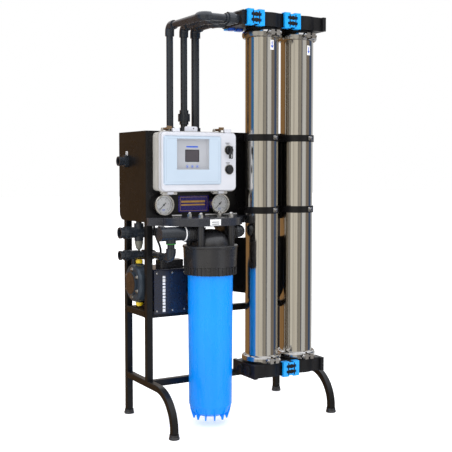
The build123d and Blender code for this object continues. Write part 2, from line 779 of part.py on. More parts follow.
with BuildPart() as filter_cartridge:
    with BuildSketch(Plane.XY.offset(sump_bottom_z + 22)):
        with Locations((filter_x, filter_y)):
            Circle(cartridge_radius - 4)
            Circle(cartridge_core, mode=Mode.SUBTRACT)
    extrude(amount=470)
    with BuildSketch(Plane.XY.offset(sump_bottom_z + 40)):
        with Locations((filter_x, filter_y)):
            Circle(cartridge_radius)
            Circle(cartridge_core, mode=Mode.SUBTRACT)
    extrude(amount=430)
filter_cartridge.part.label = "filter_cartridge"
export_step(filter_cartridge.part, "parts/filter_cartridge.step")

with BuildPart() as relief_button:
    with BuildSketch(Plane.XY.offset(relief_head_z - 24)):
        with Locations((filter_x, relief_y)):
            Circle(relief_radius)
    extrude(amount=25)
    with BuildSketch(Plane.XY.offset(relief_head_z)):
        with Locations((filter_x, relief_y)):
            Circle(relief_radius + 2)
    extrude(amount=4)
    fillet(edges().group_by(Axis.Z)[-1], 1)
relief_button.part.label = "relief_button"
export_step(relief_button.part, "parts/relief_button.step")

# ---------------------------------------------------------------- booster pump
head_left, head_right = -282.0, -246.0
disc_left, disc_radius = -289.0, 36.0
plug_x, plug_radius = -257.0, 10.8
motor_left, motor_right, motor_radius = -246.0, -64.0, 40.0
shaft_x_from, shaft_x_to = -276.0, -72.0
pump_shaft_radius = 8.0
cover_left, cover_right, cover_ridge_x = -245.0, -134.0, -190.0
cover_front, cover_back, cover_low, cover_high = -14.2, 122.0, 341.0, 478.0
cover_wall = 1.4
plug_seat = 2.0
discharge_z, discharge_radius = 485.0, 10.0
impeller_first, impeller_pitch, impeller_width = -275.0, 9.0, 5.0
fin_first, fin_pitch = -128.0, 7.0
terminal_left, terminal_right, terminal_top = -217.0, -137.0, 504.0
terminal_y, terminal_depth = 18.0, 40.0
gland_x = -207.0
base_z, base_thickness, base_right = rail_z + tube / 2, 3.0, -63.0
base_left, base_front, base_back = -264.0, -4.0, 118.0
post_notch_x, post_notch_y = -248.0, 9.0
saddle_width, saddle_height, saddle_length = 62.0, 54.0, 12.0
saddles = ((-222.0, motor_radius + 0.05), (-92.0, motor_radius + 4.05))
rotor_from, rotor_to, rotor_gap, volute_gap = -200.0, -110.0, 16.0, 10.0
cable_radius = 3.5


def pump_disc(x_from, x_to, radius, mode=Mode.ADD):
    """Disc or bore on the pump axis between two stations."""
    with BuildSketch(side_plane(x_from)) as section:
        with Locations((pump_y, pump_z)):
            Circle(radius)
    extrude(section.sketch, amount=x_to - x_from, mode=mode)


with BuildPart() as pump_head:
    pump_disc(head_left, head_right, pump_head_radius)
    fillet(faces().sort_by(Axis.X)[0].edges(), 10)
    pump_disc(disc_left, head_left + 1, disc_radius)
    for direction in (1, -1):
        collar((plug_x, pump_y, pump_z), (0, 0, direction), pump_head_radius + plug_seat, plug_radius)
    collar((plug_x, discharge_y, pump_z), (0, 0, 1), discharge_z - pump_z, discharge_radius + 0.8)
    pump_disc(head_left + 3, head_right, pump_head_radius - volute_gap, Mode.SUBTRACT)
pump_head.part.label = "pump_head"
export_step(pump_head.part, "parts/pump_head.step")

with BuildPart() as pump_plugs:
    for direction in (1, -1):
        start = (plug_x, pump_y, pump_z + direction * (pump_head_radius + plug_seat))
        collar(start, (0, 0, direction), 9, plug_radius + 0.2)
        union_nut((plug_x, pump_y, start[2] + direction * 9), (0, 0, direction), 3, plug_radius - 2)
pump_plugs.part.label = "pump_plugs"
export_step(pump_plugs.part, "parts/pump_plugs.step")

with BuildPart() as motor_body:
    pump_disc(motor_left, motor_right, motor_radius)
    for station in range(9):
        pump_disc(fin_first + fin_pitch * station, fin_first + fin_pitch * station + 3, motor_radius + 4)
    pump_disc(motor_left, motor_right - 4, motor_radius - 8, Mode.SUBTRACT)
motor_body.part.label = "motor_body"
export_step(motor_body.part, "parts/motor_body.step")

with BuildPart() as pump_rotor:
    pump_disc(shaft_x_from, shaft_x_to, pump_shaft_radius)
    for station in range(3):
        impeller = impeller_first + impeller_pitch * station
        pump_disc(impeller, impeller + impeller_width, pump_head_radius - rotor_gap)
    pump_disc(rotor_from, rotor_to, motor_radius - rotor_gap)
pump_rotor.part.label = "pump_rotor"
export_step(pump_rotor.part, "parts/pump_rotor.step")

with BuildPart() as motor_cover:
    with BuildSketch(side_plane(cover_left)):
        with BuildLine():
            Polyline((cover_front, cover_low), (cover_front, cover_high), (cover_back, cover_high),
                     (cover_back, cover_low), close=True)
        make_face()
    extrude(amount=cover_right - cover_left)
    fillet(edges().filter_by(Axis.X).group_by(Axis.Z)[-1], 6)
    with BuildSketch(side_plane(cover_left + 2)):
        with BuildLine():
            Polyline((cover_front + cover_wall, cover_low), (cover_front + cover_wall, cover_high - 3),
                     (cover_back - 3, cover_high - 3), (cover_back - 3, cover_low), close=True)
        make_face()
        fillet(vertices().group_by(Axis.Z)[-1], 5)
    extrude(amount=cover_right - cover_left - 4, mode=Mode.SUBTRACT)
    skirt_back = cover_front + cover_wall
    with BuildSketch(side_plane(cover_left - 1)):
        with Locations(((skirt_back + cover_back + 10) / 2, base_z - 9)):
            Rectangle(cover_back + 10 - skirt_back, 28)
    extrude(amount=cover_right - cover_left + 2, mode=Mode.SUBTRACT)
    pump_disc(cover_left - 1, cover_left + 3, motor_radius + 4.5, Mode.SUBTRACT)
    pump_disc(cover_right - 3, cover_right + 1, motor_radius + 4.5, Mode.SUBTRACT)
    with BuildSketch(front_plane(cover_front)):
        with Locations((cover_ridge_x, (cover_low + cover_high) / 2 - 3)):
            Rectangle(4, cover_high - cover_low - 10)
    extrude(amount=0.6)
motor_cover.part.label = "motor_cover"
export_step(motor_cover.part, "parts/motor_cover.step")

with BuildPart() as pump_base:
    with BuildSketch(Plane.XY.offset(base_z)):
        with BuildLine():
            Polyline(
                (post_notch_x, base_front), (base_right, base_front), (base_right, base_back),
                (base_left, base_back), (base_left, post_notch_y), (post_notch_x, post_notch_y), close=True,
            )
        make_face()
    extrude(amount=base_thickness)
    for x, saddle_radius in saddles:
        with BuildSketch(side_plane(x)):
            with Locations((pump_y, base_z + 1 + saddle_height / 2)):
                Rectangle(saddle_width, saddle_height)
            with Locations((pump_y, pump_z)):
                Circle(saddle_radius, mode=Mode.SUBTRACT)
        extrude(amount=saddle_length)
pump_base.part.label = "pump_base"
export_step(pump_base.part, "parts/pump_base.step")

# ---------------------------------------------------------------- membrane vessels
for vessel_name, x in zip(("left", "right"), vessel_x):
    with BuildPart() as vessel:
        with BuildSketch(upright(x, vessel_y)):
            with BuildLine():
                inner = vessel_radius - vessel_wall
                Polyline(
                    (inner, joint_low_z), (vessel_flange_radius, joint_low_z),
                    (vessel_flange_radius, joint_low_z + vessel_flange),
                    (vessel_radius, joint_low_z + vessel_flange + 1),
                    (vessel_radius, joint_high_z - vessel_flange - 1),
                    (vessel_flange_radius, joint_high_z - vessel_flange), (vessel_flange_radius, joint_high_z),
                    (inner, joint_high_z), close=True,
                )
            make_face()
        revolve(axis=vertical(x, vessel_y))
    vessel.part.label = f"vessel_{vessel_name}"
    export_step(vessel.part, f"parts/vessel_{vessel_name}.step")

element_radius, element_tube = 49.0, 9.5

with BuildPart() as membrane_elements:
    with BuildSketch(Plane.XY.offset(joint_low_z + 20)):
        with Locations(*[(x, vessel_y) for x in vessel_x]):
            Circle(element_radius)
            Circle(element_tube, mode=Mode.SUBTRACT)
    extrude(amount=joint_high_z - joint_low_z - 40)
membrane_elements.part.label = "membrane_elements"
export_step(membrane_elements.part, "parts/membrane_elements.step")

end_flange = 12.0


def manifold_block(x_from, x_to, vessel, heights, joint_z):
    """Block over one vessel end: two end flanges, a barrel body and a neck to the vessel."""
    low, high = heights
    with BuildSketch(Plane.XY.offset(low)) as plan:
        with Locations((vessel, vessel_y)):
            Rectangle(x_to - x_from, 2 * block_half_depth - 18)
            Circle(block_half_depth - 4)
        for x in (x_from + end_flange / 2, x_to - end_flange / 2):
            with Locations((x, vessel_y)):
                Rectangle(end_flange, 2 * block_half_depth)
    extrude(plan.sketch, amount=high - low)
    near = low if joint_z < low else high
    outward = -1 if joint_z < low else 1
    with BuildSketch(Plane.XY.offset(near)) as neck:
        with Locations((vessel, vessel_y)):
            Circle(vessel_radius - 1)
    extrude(neck.sketch, amount=joint_z - near)
    with BuildSketch(Plane.XY.offset(joint_z)) as flange:
        with Locations((vessel, vessel_y)):
            Circle(vessel_flange_radius)
    extrude(flange.sketch, amount=-outward * vessel_flange)
    with BuildSketch(Plane.XY.offset(joint_z)) as bore:
        with Locations((vessel, vessel_y)):
            Circle(vessel_radius - 8)
    extrude(bore.sketch, amount=-outward * 32, mode=Mode.SUBTRACT)


with BuildPart() as top_blocks:
    for x in vessel_x:
        manifold_block(x - vessel_pitch / 2 + block_seam / 2, x + vessel_pitch / 2 - block_seam / 2, x,
                       high_block, joint_high_z)
top_blocks.part.label = "top_blocks"
export_step(top_blocks.part, "parts/top_blocks.step")

with BuildPart() as bottom_blocks:
    for x in vessel_x:
        manifold_block(x - vessel_pitch / 2 + block_seam / 2, x + vessel_pitch / 2 - block_seam / 2, x,
                       low_block, joint_low_z)
bottom_blocks.part.label = "bottom_blocks"
export_step(bottom_blocks.part, "parts/bottom_blocks.step")

inlet_right = vessel_x[0] - vessel_pitch / 2 - block_seam / 2
inlet_left = inlet_right - 45.0
socket_depth = 15.0

with BuildPart() as top_inlet_block:
    with BuildSketch(Plane.XY.offset(high_block[0])):
        with Locations(((inlet_left + inlet_right) / 2, vessel_y)):
            Rectangle(inlet_right - inlet_left, 2 * block_half_depth - 10)
        with Locations((inlet_right - end_flange / 2, vessel_y)):
            Rectangle(end_flange, 2 * block_half_depth)
    extrude(amount=high_block[1] - high_block[0])
    chamfer(edges().filter_by(Axis.Y).group_by(Axis.X)[0], 5)
    for y, radius in zip(riser_front_y, riser_radius):
        with BuildSketch(side_plane(inlet_left)):
            with Locations((y, riser_z)):
                Circle(radius)
        extrude(amount=socket_depth, mode=Mode.SUBTRACT)
top_inlet_block.part.label = "top_inlet_block"
export_step(top_inlet_block.part, "parts/top_inlet_block.step")

clip_bar, clip_half, clip_thickness, clip_lip, clip_over = 21.0, 29.5, 8.0, 10.0, 2.5
link_pitch, link_height, notch_width, notch_height = 17.0, 6.0, 8.0, 9.0


def manifold_clip(x, heights, face_y, outward, thickness):
    """Two-part clip across a manifold seam: two upright bars joined by three links, with lips."""
    middle = (heights[0] + heights[1]) / 2
    height = heights[1] - heights[0] + 2 * clip_over
    notch_x = clip_half - clip_bar + notch_width / 2 + 2
    front = face_y + outward * 0.1
    with BuildSketch(front_plane(front)) as face:
        with Locations((x - clip_half + clip_bar / 2, middle), (x + clip_half - clip_bar / 2, middle)):
            Rectangle(clip_bar, height)
        with Locations((x, middle - link_pitch), (x, middle), (x, middle + link_pitch)):
            Rectangle(2 * (clip_half - clip_bar) + 2, link_height)
        for side in (-1, 1):
            column = x + side * notch_x
            with Locations((column, middle - link_pitch / 2), (column, middle + link_pitch / 2)):
                RectangleRounded(notch_width, notch_height, 2, mode=Mode.SUBTRACT)
    extrude(face.sketch, amount=-outward * thickness)
    for lip_z in (heights[0] - clip_over, heights[1] + 0.1):
        with BuildSketch(Plane.XY.offset(lip_z)) as lips:
            for side in (-1, 1):
                with Locations((x + side * (clip_half - clip_bar / 2), front - outward * (clip_lip / 2 - 1))):
                    Rectangle(clip_bar, clip_lip + 2)
        extrude(lips.sketch, amount=clip_over - 0.1)


seams_top = (vessel_x[0] - vessel_pitch / 2, vessel_x[0] + vessel_pitch / 2)
block_front = vessel_y - block_half_depth
block_back = vessel_y + block_half_depth

with BuildPart() as manifold_clips:
    for x in seams_top:
        manifold_clip(x, high_block, block_front, -1, clip_thickness)
        manifold_clip(x, high_block, block_back, 1, clip_thickness)
    manifold_clip(seams_top[1], low_block, block_front, -1, clip_thickness)
manifold_clips.part.label = "manifold_clips"
export_step(manifold_clips.part, "parts/manifold_clips.step")

port_plug_radius = 13.0
under_plugs_x, side_plugs_y = (11.5, 40.0), (-112.0, -68.0)

with BuildPart() as port_plugs:
    for x in under_plugs_x:
        collar((x, vessel_y + 40, high_block[0]), (0, 0, -1), 6, port_plug_radius - 1)
    for y in side_plugs_y:
        x = vessel_x[0] - vessel_pitch / 2 + block_seam / 2
        collar((x, y, sum(low_block) / 2), (-1, 0, 0), 7, port_plug_radius)
port_plugs.part.label = "port_plugs"
export_step(port_plugs.part, "parts/port_plugs.step")

ring_outer, ear_reach, ear_width, clamp_half = 62.5, 76.0, 32.0, 11.0
ring_lip, ring_crown, ring_shoulder = vessel_radius + 1.2, 57.5, 60.5
ear_thickness, ear_gap, bolt_inset, clamp_bolt_radius, clamp_nut_radius = 16.0, 7.0, 69.5, 3.5, 7.0

with BuildPart() as v_clamps:
    for x in vessel_x:
        for z in (joint_low_z, joint_high_z):
            with BuildSketch(upright(x, vessel_y)):
                with BuildLine():
                    Polyline(
                        (ring_lip, z - 9), (ring_crown, z - clamp_half), (ring_shoulder, z - 9),
                        (ring_outer, z - 4), (ring_outer, z + 4), (ring_shoulder, z + 9),
                        (ring_crown, z + clamp_half), (ring_lip, z + 9), (ring_lip, z + 6),
                        (vessel_flange_radius + 0.1, z + 3.8), (vessel_flange_radius + 0.1, z - 3.8),
                        (ring_lip, z - 6), close=True,
                    )
                make_face()
            revolve(axis=vertical(x, vessel_y))
            with BuildSketch(Plane.XY.offset(z - ear_thickness / 2)):
                with Locations((x, vessel_y - (ring_outer + ear_reach) / 2 + 1)):
                    Rectangle(ear_width, ear_reach - ring_outer + 6)
            extrude(amount=ear_thickness)
            with BuildSketch(Plane.XY.offset(z - clamp_half - 1)):
                with Locations((x, vessel_y - ear_reach / 2 - 30)):
                    Rectangle(ear_gap, ear_reach - 24)
                with Locations((x, vessel_y)):
                    Circle(ring_lip)
            extrude(amount=2 * clamp_half + 2, mode=Mode.SUBTRACT)
            bolt_y = vessel_y - bolt_inset
            collar((x - ear_width / 2 - 9, bolt_y, z), (1, 0, 0), ear_width + 18, clamp_bolt_radius)
            collar((x - ear_width / 2 - 6, bolt_y, z), (1, 0, 0), 6.5, clamp_nut_radius)
            collar((x + ear_width / 2 - 0.5, bolt_y, z), (1, 0, 0), 6.5, clamp_nut_radius)
v_clamps.part.label = "v_clamps"
export_step(v_clamps.part, "parts/v_clamps.step")

strap_height, strap_outer = 21.0, 55.5
stem_width, foot_width, foot_thickness, strap_bolt_dx, strap_bolt_radius = 56.0, 96.0, 6.0, 42.0, 5.0

with BuildPart() as vessel_straps:
    for z in strap_z:
        for x in vessel_x:
            with BuildSketch(Plane.XY.offset(z - strap_height / 2)):
                with Locations((x, vessel_y)):
                    Circle(strap_outer)
                with Locations((x, (vessel_y + cowl_front) / 2)):
                    Rectangle(stem_width, cowl_front - vessel_y)
                with Locations((x, cowl_front - foot_thickness / 2)):
                    Rectangle(foot_width, foot_thickness)
                with Locations((x, vessel_y)):
                    Circle(vessel_radius + 0.05, mode=Mode.SUBTRACT)
            extrude(amount=strap_height)
            for side in (-1, 1):
                collar((x + side * strap_bolt_dx, cowl_front - foot_thickness, z), (0, -1, 0), 5,
                       strap_bolt_radius)
vessel_straps.part.label = "vessel_straps"
export_step(vessel_straps.part, "parts/vessel_straps.step")

# ---------------------------------------------------------------- pipework
port_bore_depth = 30.0
drain_radius, drain_rim, drain_bore = 13.0, 17.5, 13.2
inlet_radius, inlet_rim, inlet_bore = 11.0, 14.5, 10.5
tee_x = -259.0
branch_radius, branch_top = 9.0, drain_z + 28.0
elbow_x, tee_end_x, tee_radius = -224.0, -262.0, 21.0
riser_names = ("permeate_riser", "concentrate_riser", "feed_riser")
elbow_bend, inlet_bend = 18.0, 20.0
feed_cross_z, feed_x, branch_cross_z = 700.0, -204.0, 760.0
product_turn = (-175.0, panel_port_y, panel_port_z)
riser_starts = {
    "permeate_riser": [(panel_port_tail, panel_port_y, panel_port_z), product_turn,
                       (riser_x[0], riser_y, panel_port_z)],
    "concentrate_riser": [(tee_x, port_y, branch_top), (tee_x, port_y, branch_cross_z),
                          (riser_x[1], port_y, branch_cross_z), (riser_x[1], riser_y, branch_cross_z)],
    "feed_riser": [(plug_x, discharge_y, discharge_z), (plug_x, discharge_y, discharge_z + 23),
                   (feed_x, discharge_y, discharge_z + 23), (feed_x, discharge_y, feed_cross_z),
                   (riser_x[2], riser_y, feed_cross_z)],
}
riser_start_radius = (9.0, branch_radius, discharge_radius)

for riser_name, x, front, radius, start_radius in zip(
    riser_names, riser_x, riser_front_y, riser_radius, riser_start_radius
):
    block_end = inlet_left + socket_depth
    fitting = radius + 3.5
    with BuildPart() as riser:
        pipe_run([*riser_starts[riser_name], (x, riser_y, riser_base_z + 8)], start_radius, elbow_bend)
        pipe_run(
            [(x, riser_y, riser_base_z), (x, riser_y, riser_z), (x, front, riser_z),
             (block_end, front, riser_z)],
            radius, elbow_bend,
        )
        elbow((x, riser_y, riser_z), (0, 0, -1), (0, -1, 0), 32, fitting, elbow_bend)
        elbow((x, front, riser_z), (0, 1, 0), (1, 0, 0), 24, fitting, elbow_bend)
        collar((x, riser_y, riser_base_z), (0, 0, 1), 76, fitting)
        collar((inlet_left - 14, front, riser_z), (1, 0, 0), 14, fitting)
        if riser_name == "concentrate_riser":
            union_nut((x, riser_y, 936), (0, 0, 1), 24, radius + 9)
            collar((x, riser_y, 926), (0, 0, 1), 46, fitting)
        if riser_name == "permeate_riser":
            union_nut((inlet_left - 34, front, riser_z), (1, 0, 0), 20, radius + 8)
            collar((inlet_left - 42, front, riser_z), (1, 0, 0), 30, fitting)
    riser.part.label = riser_name
    export_step(riser.part, f"parts/{riser_name}.step")


def pipe_port(end_x, y, z, pipe_radius, rim_radius, bore_radius):
    """Threaded pipe port that points to -X: a rim, a knurled nut and a blind bore."""
    collar((end_x, y, z), (1, 0, 0), 6, rim_radius)
    collar((end_x + 6, y, z), (1, 0, 0), 12, rim_radius - 2)
    union_nut((end_x + 14, y, z), (1, 0, 0), 22, rim_radius + 1.5)
    collar((end_x + 36, y, z), (1, 0, 0), 22, pipe_radius + 3)
    with BuildSketch(side_plane(end_x)) as bore:
        with Locations((y, z)):
            Circle(bore_radius)
    extrude(bore.sketch, amount=port_bore_depth, mode=Mode.SUBTRACT)


with BuildPart() as drain_line:
    collar((port_end_x + 40, port_y, drain_z), (1, 0, 0), 110, drain_radius)
    collar((tee_x - 24, port_y, drain_z), (1, 0, 0), 48, drain_radius + 4)
    collar((tee_x, port_y, drain_z), (0, 0, 1), branch_top - drain_z, drain_radius + 2)
    collar((tee_x, port_y, drain_z), (0, 0, -1), 26, drain_radius + 1)
    collar((-190, port_y, drain_z), (1, 0, 0), 16, drain_radius + 4)
    pipe_port(port_end_x, port_y, drain_z, drain_radius, drain_rim, drain_bore)
drain_line.part.label = "drain_line"
export_step(drain_line.part, "parts/drain_line.step")

with BuildPart() as check_valve:
    with BuildSketch(upright(tee_x, port_y)):
        with BuildLine():
            Polyline((0, drain_z - 26), (12.5, drain_z - 26), (13.5, drain_z - 30), (9, drain_z - 50),
                     (4.5, drain_z - 53), (4.5, inlet_z + inlet_radius + 0.2),
                     (0, inlet_z + inlet_radius + 0.2), close=True)
        make_face()
    revolve(axis=vertical(tee_x, port_y))
check_valve.part.label = "check_valve"
export_step(check_valve.part, "parts/check_valve.step")

cap_face_x = filter_x - cap_radius + 2

with BuildPart() as inlet_line:
    pipe_run(
        [(port_end_x + 40, port_y, inlet_z), (elbow_x, port_y, inlet_z), (elbow_x, filter_y, inlet_z),
         (elbow_x, filter_y, filter_pipe_z), (cap_face_x + 12, filter_y, filter_pipe_z)],
        inlet_radius, inlet_bend,
    )
    elbow((elbow_x, port_y, inlet_z), (-1, 0, 0), (0, -1, 0), 23.5, inlet_radius + 4, inlet_bend)
    elbow((elbow_x, filter_y, inlet_z), (0, 1, 0), (0, 0, 1), 28, inlet_radius + 4, inlet_bend)
    collar((tee_end_x, filter_y, filter_pipe_z), (1, 0, 0), cap_face_x - 6 - tee_end_x, tee_radius)
    fillet(faces().sort_by(Axis.X)[0].edges(), 9)
    collar((elbow_x, filter_y, filter_pipe_z), (0, 0, -1), tee_radius + 9, inlet_radius + 4)
    union_nut((cap_face_x - 6, filter_y, filter_pipe_z), (1, 0, 0), 6, 27)
    pipe_port(port_end_x, port_y, inlet_z, inlet_radius, inlet_rim, inlet_bore)
inlet_line.part.label = "inlet_line"
export_step(inlet_line.part, "parts/inlet_line.step")

outlet_x = filter_x + cap_radius + 26
outlet_y, outlet_top = 60.0, 700.0

with BuildPart() as filter_outlet_line:
    pipe_run(
        [(filter_x + cap_radius - 14, filter_y, filter_pipe_z), (outlet_x, filter_y, filter_pipe_z),
         (outlet_x, outlet_y, filter_pipe_z), (outlet_x, outlet_y, outlet_top)],
        inlet_radius, inlet_bend,
    )
    elbow((outlet_x, filter_y, filter_pipe_z), (-1, 0, 0), (0, 1, 0), 26, 19, 22)
    elbow((outlet_x, outlet_y, filter_pipe_z), (0, -1, 0), (0, 0, 1), 26, inlet_radius + 4, inlet_bend)
    union_nut((filter_x + cap_radius - 2, filter_y, filter_pipe_z), (1, 0, 0), 8, 24)
filter_outlet_line.part.label = "filter_outlet_line"
export_step(filter_outlet_line.part, "parts/filter_outlet_line.step")

with BuildPart() as terminal_box:
    with BuildSketch(Plane.XY.offset(cover_high)):
        with Locations(((terminal_left + terminal_right) / 2, terminal_y)):
            RectangleRounded(terminal_right - terminal_left, terminal_depth, 6)
    extrude(amount=terminal_top - cover_high)
    fillet(edges().group_by(Axis.Z)[-1], 2)
    collar((gland_x, terminal_y, terminal_top - 1), (0, 0, 1), 7, 7)
    union_nut((gland_x, terminal_y, terminal_top + 2), (0, 0, 1), 6, 8)
    collar((gland_x, terminal_y, terminal_top + 12), (0, 0, -1), 14, cable_radius, Mode.SUBTRACT)
terminal_box.part.label = "terminal_box"
export_step(terminal_box.part, "parts/terminal_box.step")

panel_rim, panel_bore = 15.0, 10.5

with BuildPart() as cabinet_port:
    collar((panel_port_tip, panel_port_y, panel_port_z), (1, 0, 0), 5, panel_rim)
    collar((panel_port_tip + 5, panel_port_y, panel_port_z), (1, 0, 0), panel_port_tail - panel_port_tip - 5,
           port_thread_radius)
    union_nut((cowl_left - 12, panel_port_y, panel_port_z), (1, 0, 0), 12, 19)
    union_nut((cowl_left + sheet, panel_port_y, panel_port_z), (1, 0, 0), 8, 18)
    collar((panel_port_tip, panel_port_y, panel_port_z), (1, 0, 0), port_bore_depth, panel_bore,
           Mode.SUBTRACT)
cabinet_port.part.label = "cabinet_port"
export_step(cabinet_port.part, "parts/cabinet_port.step")

cable_foot = terminal_top - 2
cable_route = [
    (gland_x, terminal_y, cable_foot), (gland_x, terminal_y, cable_foot + 38),
    (gland_x - 18, terminal_y + 4, 586),
    (gland_x - 20, terminal_y + 10, 630), (gland_x - 8, terminal_y + 14, 676),
]

with BuildPart() as pump_cable:
    pipe_run(cable_route, cable_radius, 60)
pump_cable.part.label = "pump_cable"
export_step(pump_cable.part, "parts/pump_cable.step")
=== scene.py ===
import json
import math

import bmesh
import bpy
from mathutils import Matrix, Vector


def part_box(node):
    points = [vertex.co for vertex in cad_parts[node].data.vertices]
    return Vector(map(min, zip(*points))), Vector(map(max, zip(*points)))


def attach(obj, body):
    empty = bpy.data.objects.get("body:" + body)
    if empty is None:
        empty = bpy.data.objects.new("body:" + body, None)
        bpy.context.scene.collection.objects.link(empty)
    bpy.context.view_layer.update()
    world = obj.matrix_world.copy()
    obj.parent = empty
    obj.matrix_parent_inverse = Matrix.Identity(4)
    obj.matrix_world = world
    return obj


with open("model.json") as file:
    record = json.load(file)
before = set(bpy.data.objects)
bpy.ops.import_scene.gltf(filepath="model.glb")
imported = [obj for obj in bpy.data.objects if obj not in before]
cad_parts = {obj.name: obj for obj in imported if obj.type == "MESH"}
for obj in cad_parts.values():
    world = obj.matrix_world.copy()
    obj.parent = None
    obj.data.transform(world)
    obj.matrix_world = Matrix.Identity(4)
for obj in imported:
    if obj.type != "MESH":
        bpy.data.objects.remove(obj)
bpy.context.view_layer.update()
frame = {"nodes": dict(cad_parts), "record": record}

FRONT = Vector((0, -1, 0))
LEFT = Vector((-1, 0, 0))
UP = Vector((0, 0, 1))
MM = 0.001
SKIN = 0.25 * MM  # thickness of a tag on a round surface, and how far print stands before a dial
SEAT = 0.02 * MM  # gap between a flat detail and the face it lies on
PRINT = 0.1 * MM  # thickness of print
LOOK_X, LOOK_Y = 0.50481, 0.86139  # the camera's heading across the floor
STRAP_Z = (0.6554, 0.8807)  # heights of the vessel straps


# ---------------------------------------------------------------- materials
def node(tree, kind, **settings):
    """Adds a shader node and sets its properties, or its inputs where no property has that name."""
    made = tree.nodes.new(kind)
    for key, value in settings.items():
        if hasattr(made, key):
            setattr(made, key, value)
        else:
            made.inputs[key.replace("_", " ")].default_value = value
    return made


def noise(tree, stretch, scale, detail=3.0):
    """Noise in row-frame metres, stretched along an axis where a process leaves streaks."""
    place = node(tree, "ShaderNodeTexCoord")
    mapping = node(tree, "ShaderNodeMapping")
    mapping.inputs["Scale"].default_value = stretch
    texture = node(tree, "ShaderNodeTexNoise", Scale=scale, Detail=detail)
    tree.links.new(place.outputs["Object"], mapping.inputs["Vector"])
    tree.links.new(mapping.outputs["Vector"], texture.inputs["Vector"])
    return texture.outputs["Fac"]


def spread(tree, source, low, high, start=0.3, end=0.7):
    """Maps a noise to a range of values."""
    remap = node(tree, "ShaderNodeMapRange")
    for key, value in (("From Min", start), ("From Max", end), ("To Min", low), ("To Max", high)):
        remap.inputs[key].default_value = value
    tree.links.new(source, remap.inputs["Value"])
    return remap.outputs["Result"]


def mixed(tree, factor, low, high):
    """Mixes two colours by a factor."""
    mix = node(tree, "ShaderNodeMix", data_type="RGBA")
    colour_in = [s for s in mix.inputs if s.type == "RGBA"]
    colour_in[0].default_value = (*low, 1)
    colour_in[1].default_value = (*high, 1)
    tree.links.new(factor, mix.inputs["Factor"])
    return [s for s in mix.outputs if s.type == "RGBA"][0]


GLOSS_RATIO = 4.3  # how much finer gloss varies than colour
GRAIN_DEPTH = 0.4 * MM


def surface(name, low, high, rough, stretch=(1, 1, 1), patch=14.0, grain=700.0, bump=0.06, **shader):
    """Procedural finish of broad colour patches between two colours, uneven gloss and a fine grain."""
    made = bpy.data.materials.new(name)
    made.use_nodes = True
    tree = made.node_tree
    principled = tree.nodes["Principled BSDF"]
    for key, value in shader.items():
        principled.inputs[key.replace("_", " ")].default_value = value
    patches = noise(tree, stretch, patch)
    tree.links.new(mixed(tree, spread(tree, patches, 0, 1), low, high), principled.inputs["Base Color"])
    gloss = noise(tree, stretch, patch * GLOSS_RATIO, 4.0)
    tree.links.new(spread(tree, gloss, *rough), principled.inputs["Roughness"])
    relief = node(tree, "ShaderNodeBump", Strength=bump, Distance=GRAIN_DEPTH)
    tree.links.new(noise(tree, stretch, grain, 2.0), relief.inputs["Height"])
    tree.links.new(relief.outputs["Normal"], principled.inputs["Normal"])
    return made


powder = surface("powder_coat", (0.0035, 0.0033, 0.0038), (0.006, 0.0055, 0.006), (0.26, 0.38), grain=950,
                 bump=0.10, Specular_IOR_Level=0.32)
box_plastic = surface("box_plastic", (0.58, 0.59, 0.64), (0.63, 0.64, 0.69), (0.28, 0.40), grain=1400,
                      bump=0.05)
# Darker, warmer copy of the box plastic: painted shade on the box base's sides and on the moulded rims.
box_plastic_painted_shade = surface("box_plastic_painted_shade", (0.44, 0.42, 0.385), (0.49, 0.47, 0.43), (0.32, 0.44), grain=1400,
                       bump=0.05)
# Darker tint of the window plastic for lines along the window's edges: painted shade on its bevels.
window_edge_painted_shade = surface("window_edge_painted_shade", (0.27, 0.34, 0.43), (0.31, 0.38, 0.47), (0.12, 0.20), patch=20,
                      bump=0.01)
# Lighter, bluish copy of the powder coat for the shelf: painted sheen standing in for reflected sky.
shelf_coat_painted_sheen = surface("shelf_coat_painted_sheen", (0.020, 0.022, 0.029), (0.030, 0.032, 0.041), (0.22, 0.34), grain=950,
                     bump=0.10, Coat_Weight=0.3, Coat_Roughness=0.2)
window_plastic = surface("window_plastic", (0.44, 0.53, 0.63), (0.48, 0.57, 0.67), (0.06, 0.14), patch=6,
                         bump=0.01, Coat_Weight=0.6, Coat_Roughness=0.05)
recess_grey = surface("recess_grey", (0.36, 0.37, 0.40), (0.40, 0.41, 0.44), (0.40, 0.52), grain=1800)
screen_glass = surface("screen_glass", (0.045, 0.040, 0.048), (0.060, 0.052, 0.060), (0.10, 0.20),
                       bump=0.01)
key_blue = surface("key_blue", (0.36, 0.40, 0.52), (0.42, 0.46, 0.58), (0.30, 0.40), patch=60)
board_green = surface("board_green", (0.01, 0.12, 0.04), (0.02, 0.20, 0.07), (0.30, 0.50), patch=120)
foam = surface("gasket_foam", (0.02, 0.02, 0.02), (0.04, 0.04, 0.04), (0.70, 0.90), grain=2500, bump=0.4)
control_black = surface("control_black", (0.010, 0.010, 0.012), (0.018, 0.018, 0.020), (0.16, 0.28),
                        patch=40)
steel = surface("satin_steel", (0.56, 0.54, 0.50), (0.68, 0.66, 0.62), (0.16, 0.30), patch=50, grain=2200,
                bump=0.05, Metallic=1.0)
chrome = surface("chrome", (0.44, 0.43, 0.42), (0.56, 0.55, 0.54), (0.10, 0.22), patch=60, bump=0.03,
                 Metallic=1.0)
bronze = surface("latch_bronze", (0.36, 0.24, 0.14), (0.46, 0.32, 0.20), (0.24, 0.38), patch=80,
                 Metallic=1.0)
dial_white = surface("dial_white", (0.62, 0.62, 0.62), (0.70, 0.70, 0.70), (0.45, 0.60), patch=90,
                     grain=1800)
ink_black = surface("ink_black", (0.010, 0.010, 0.010), (0.020, 0.020, 0.022), (0.40, 0.55), patch=200)
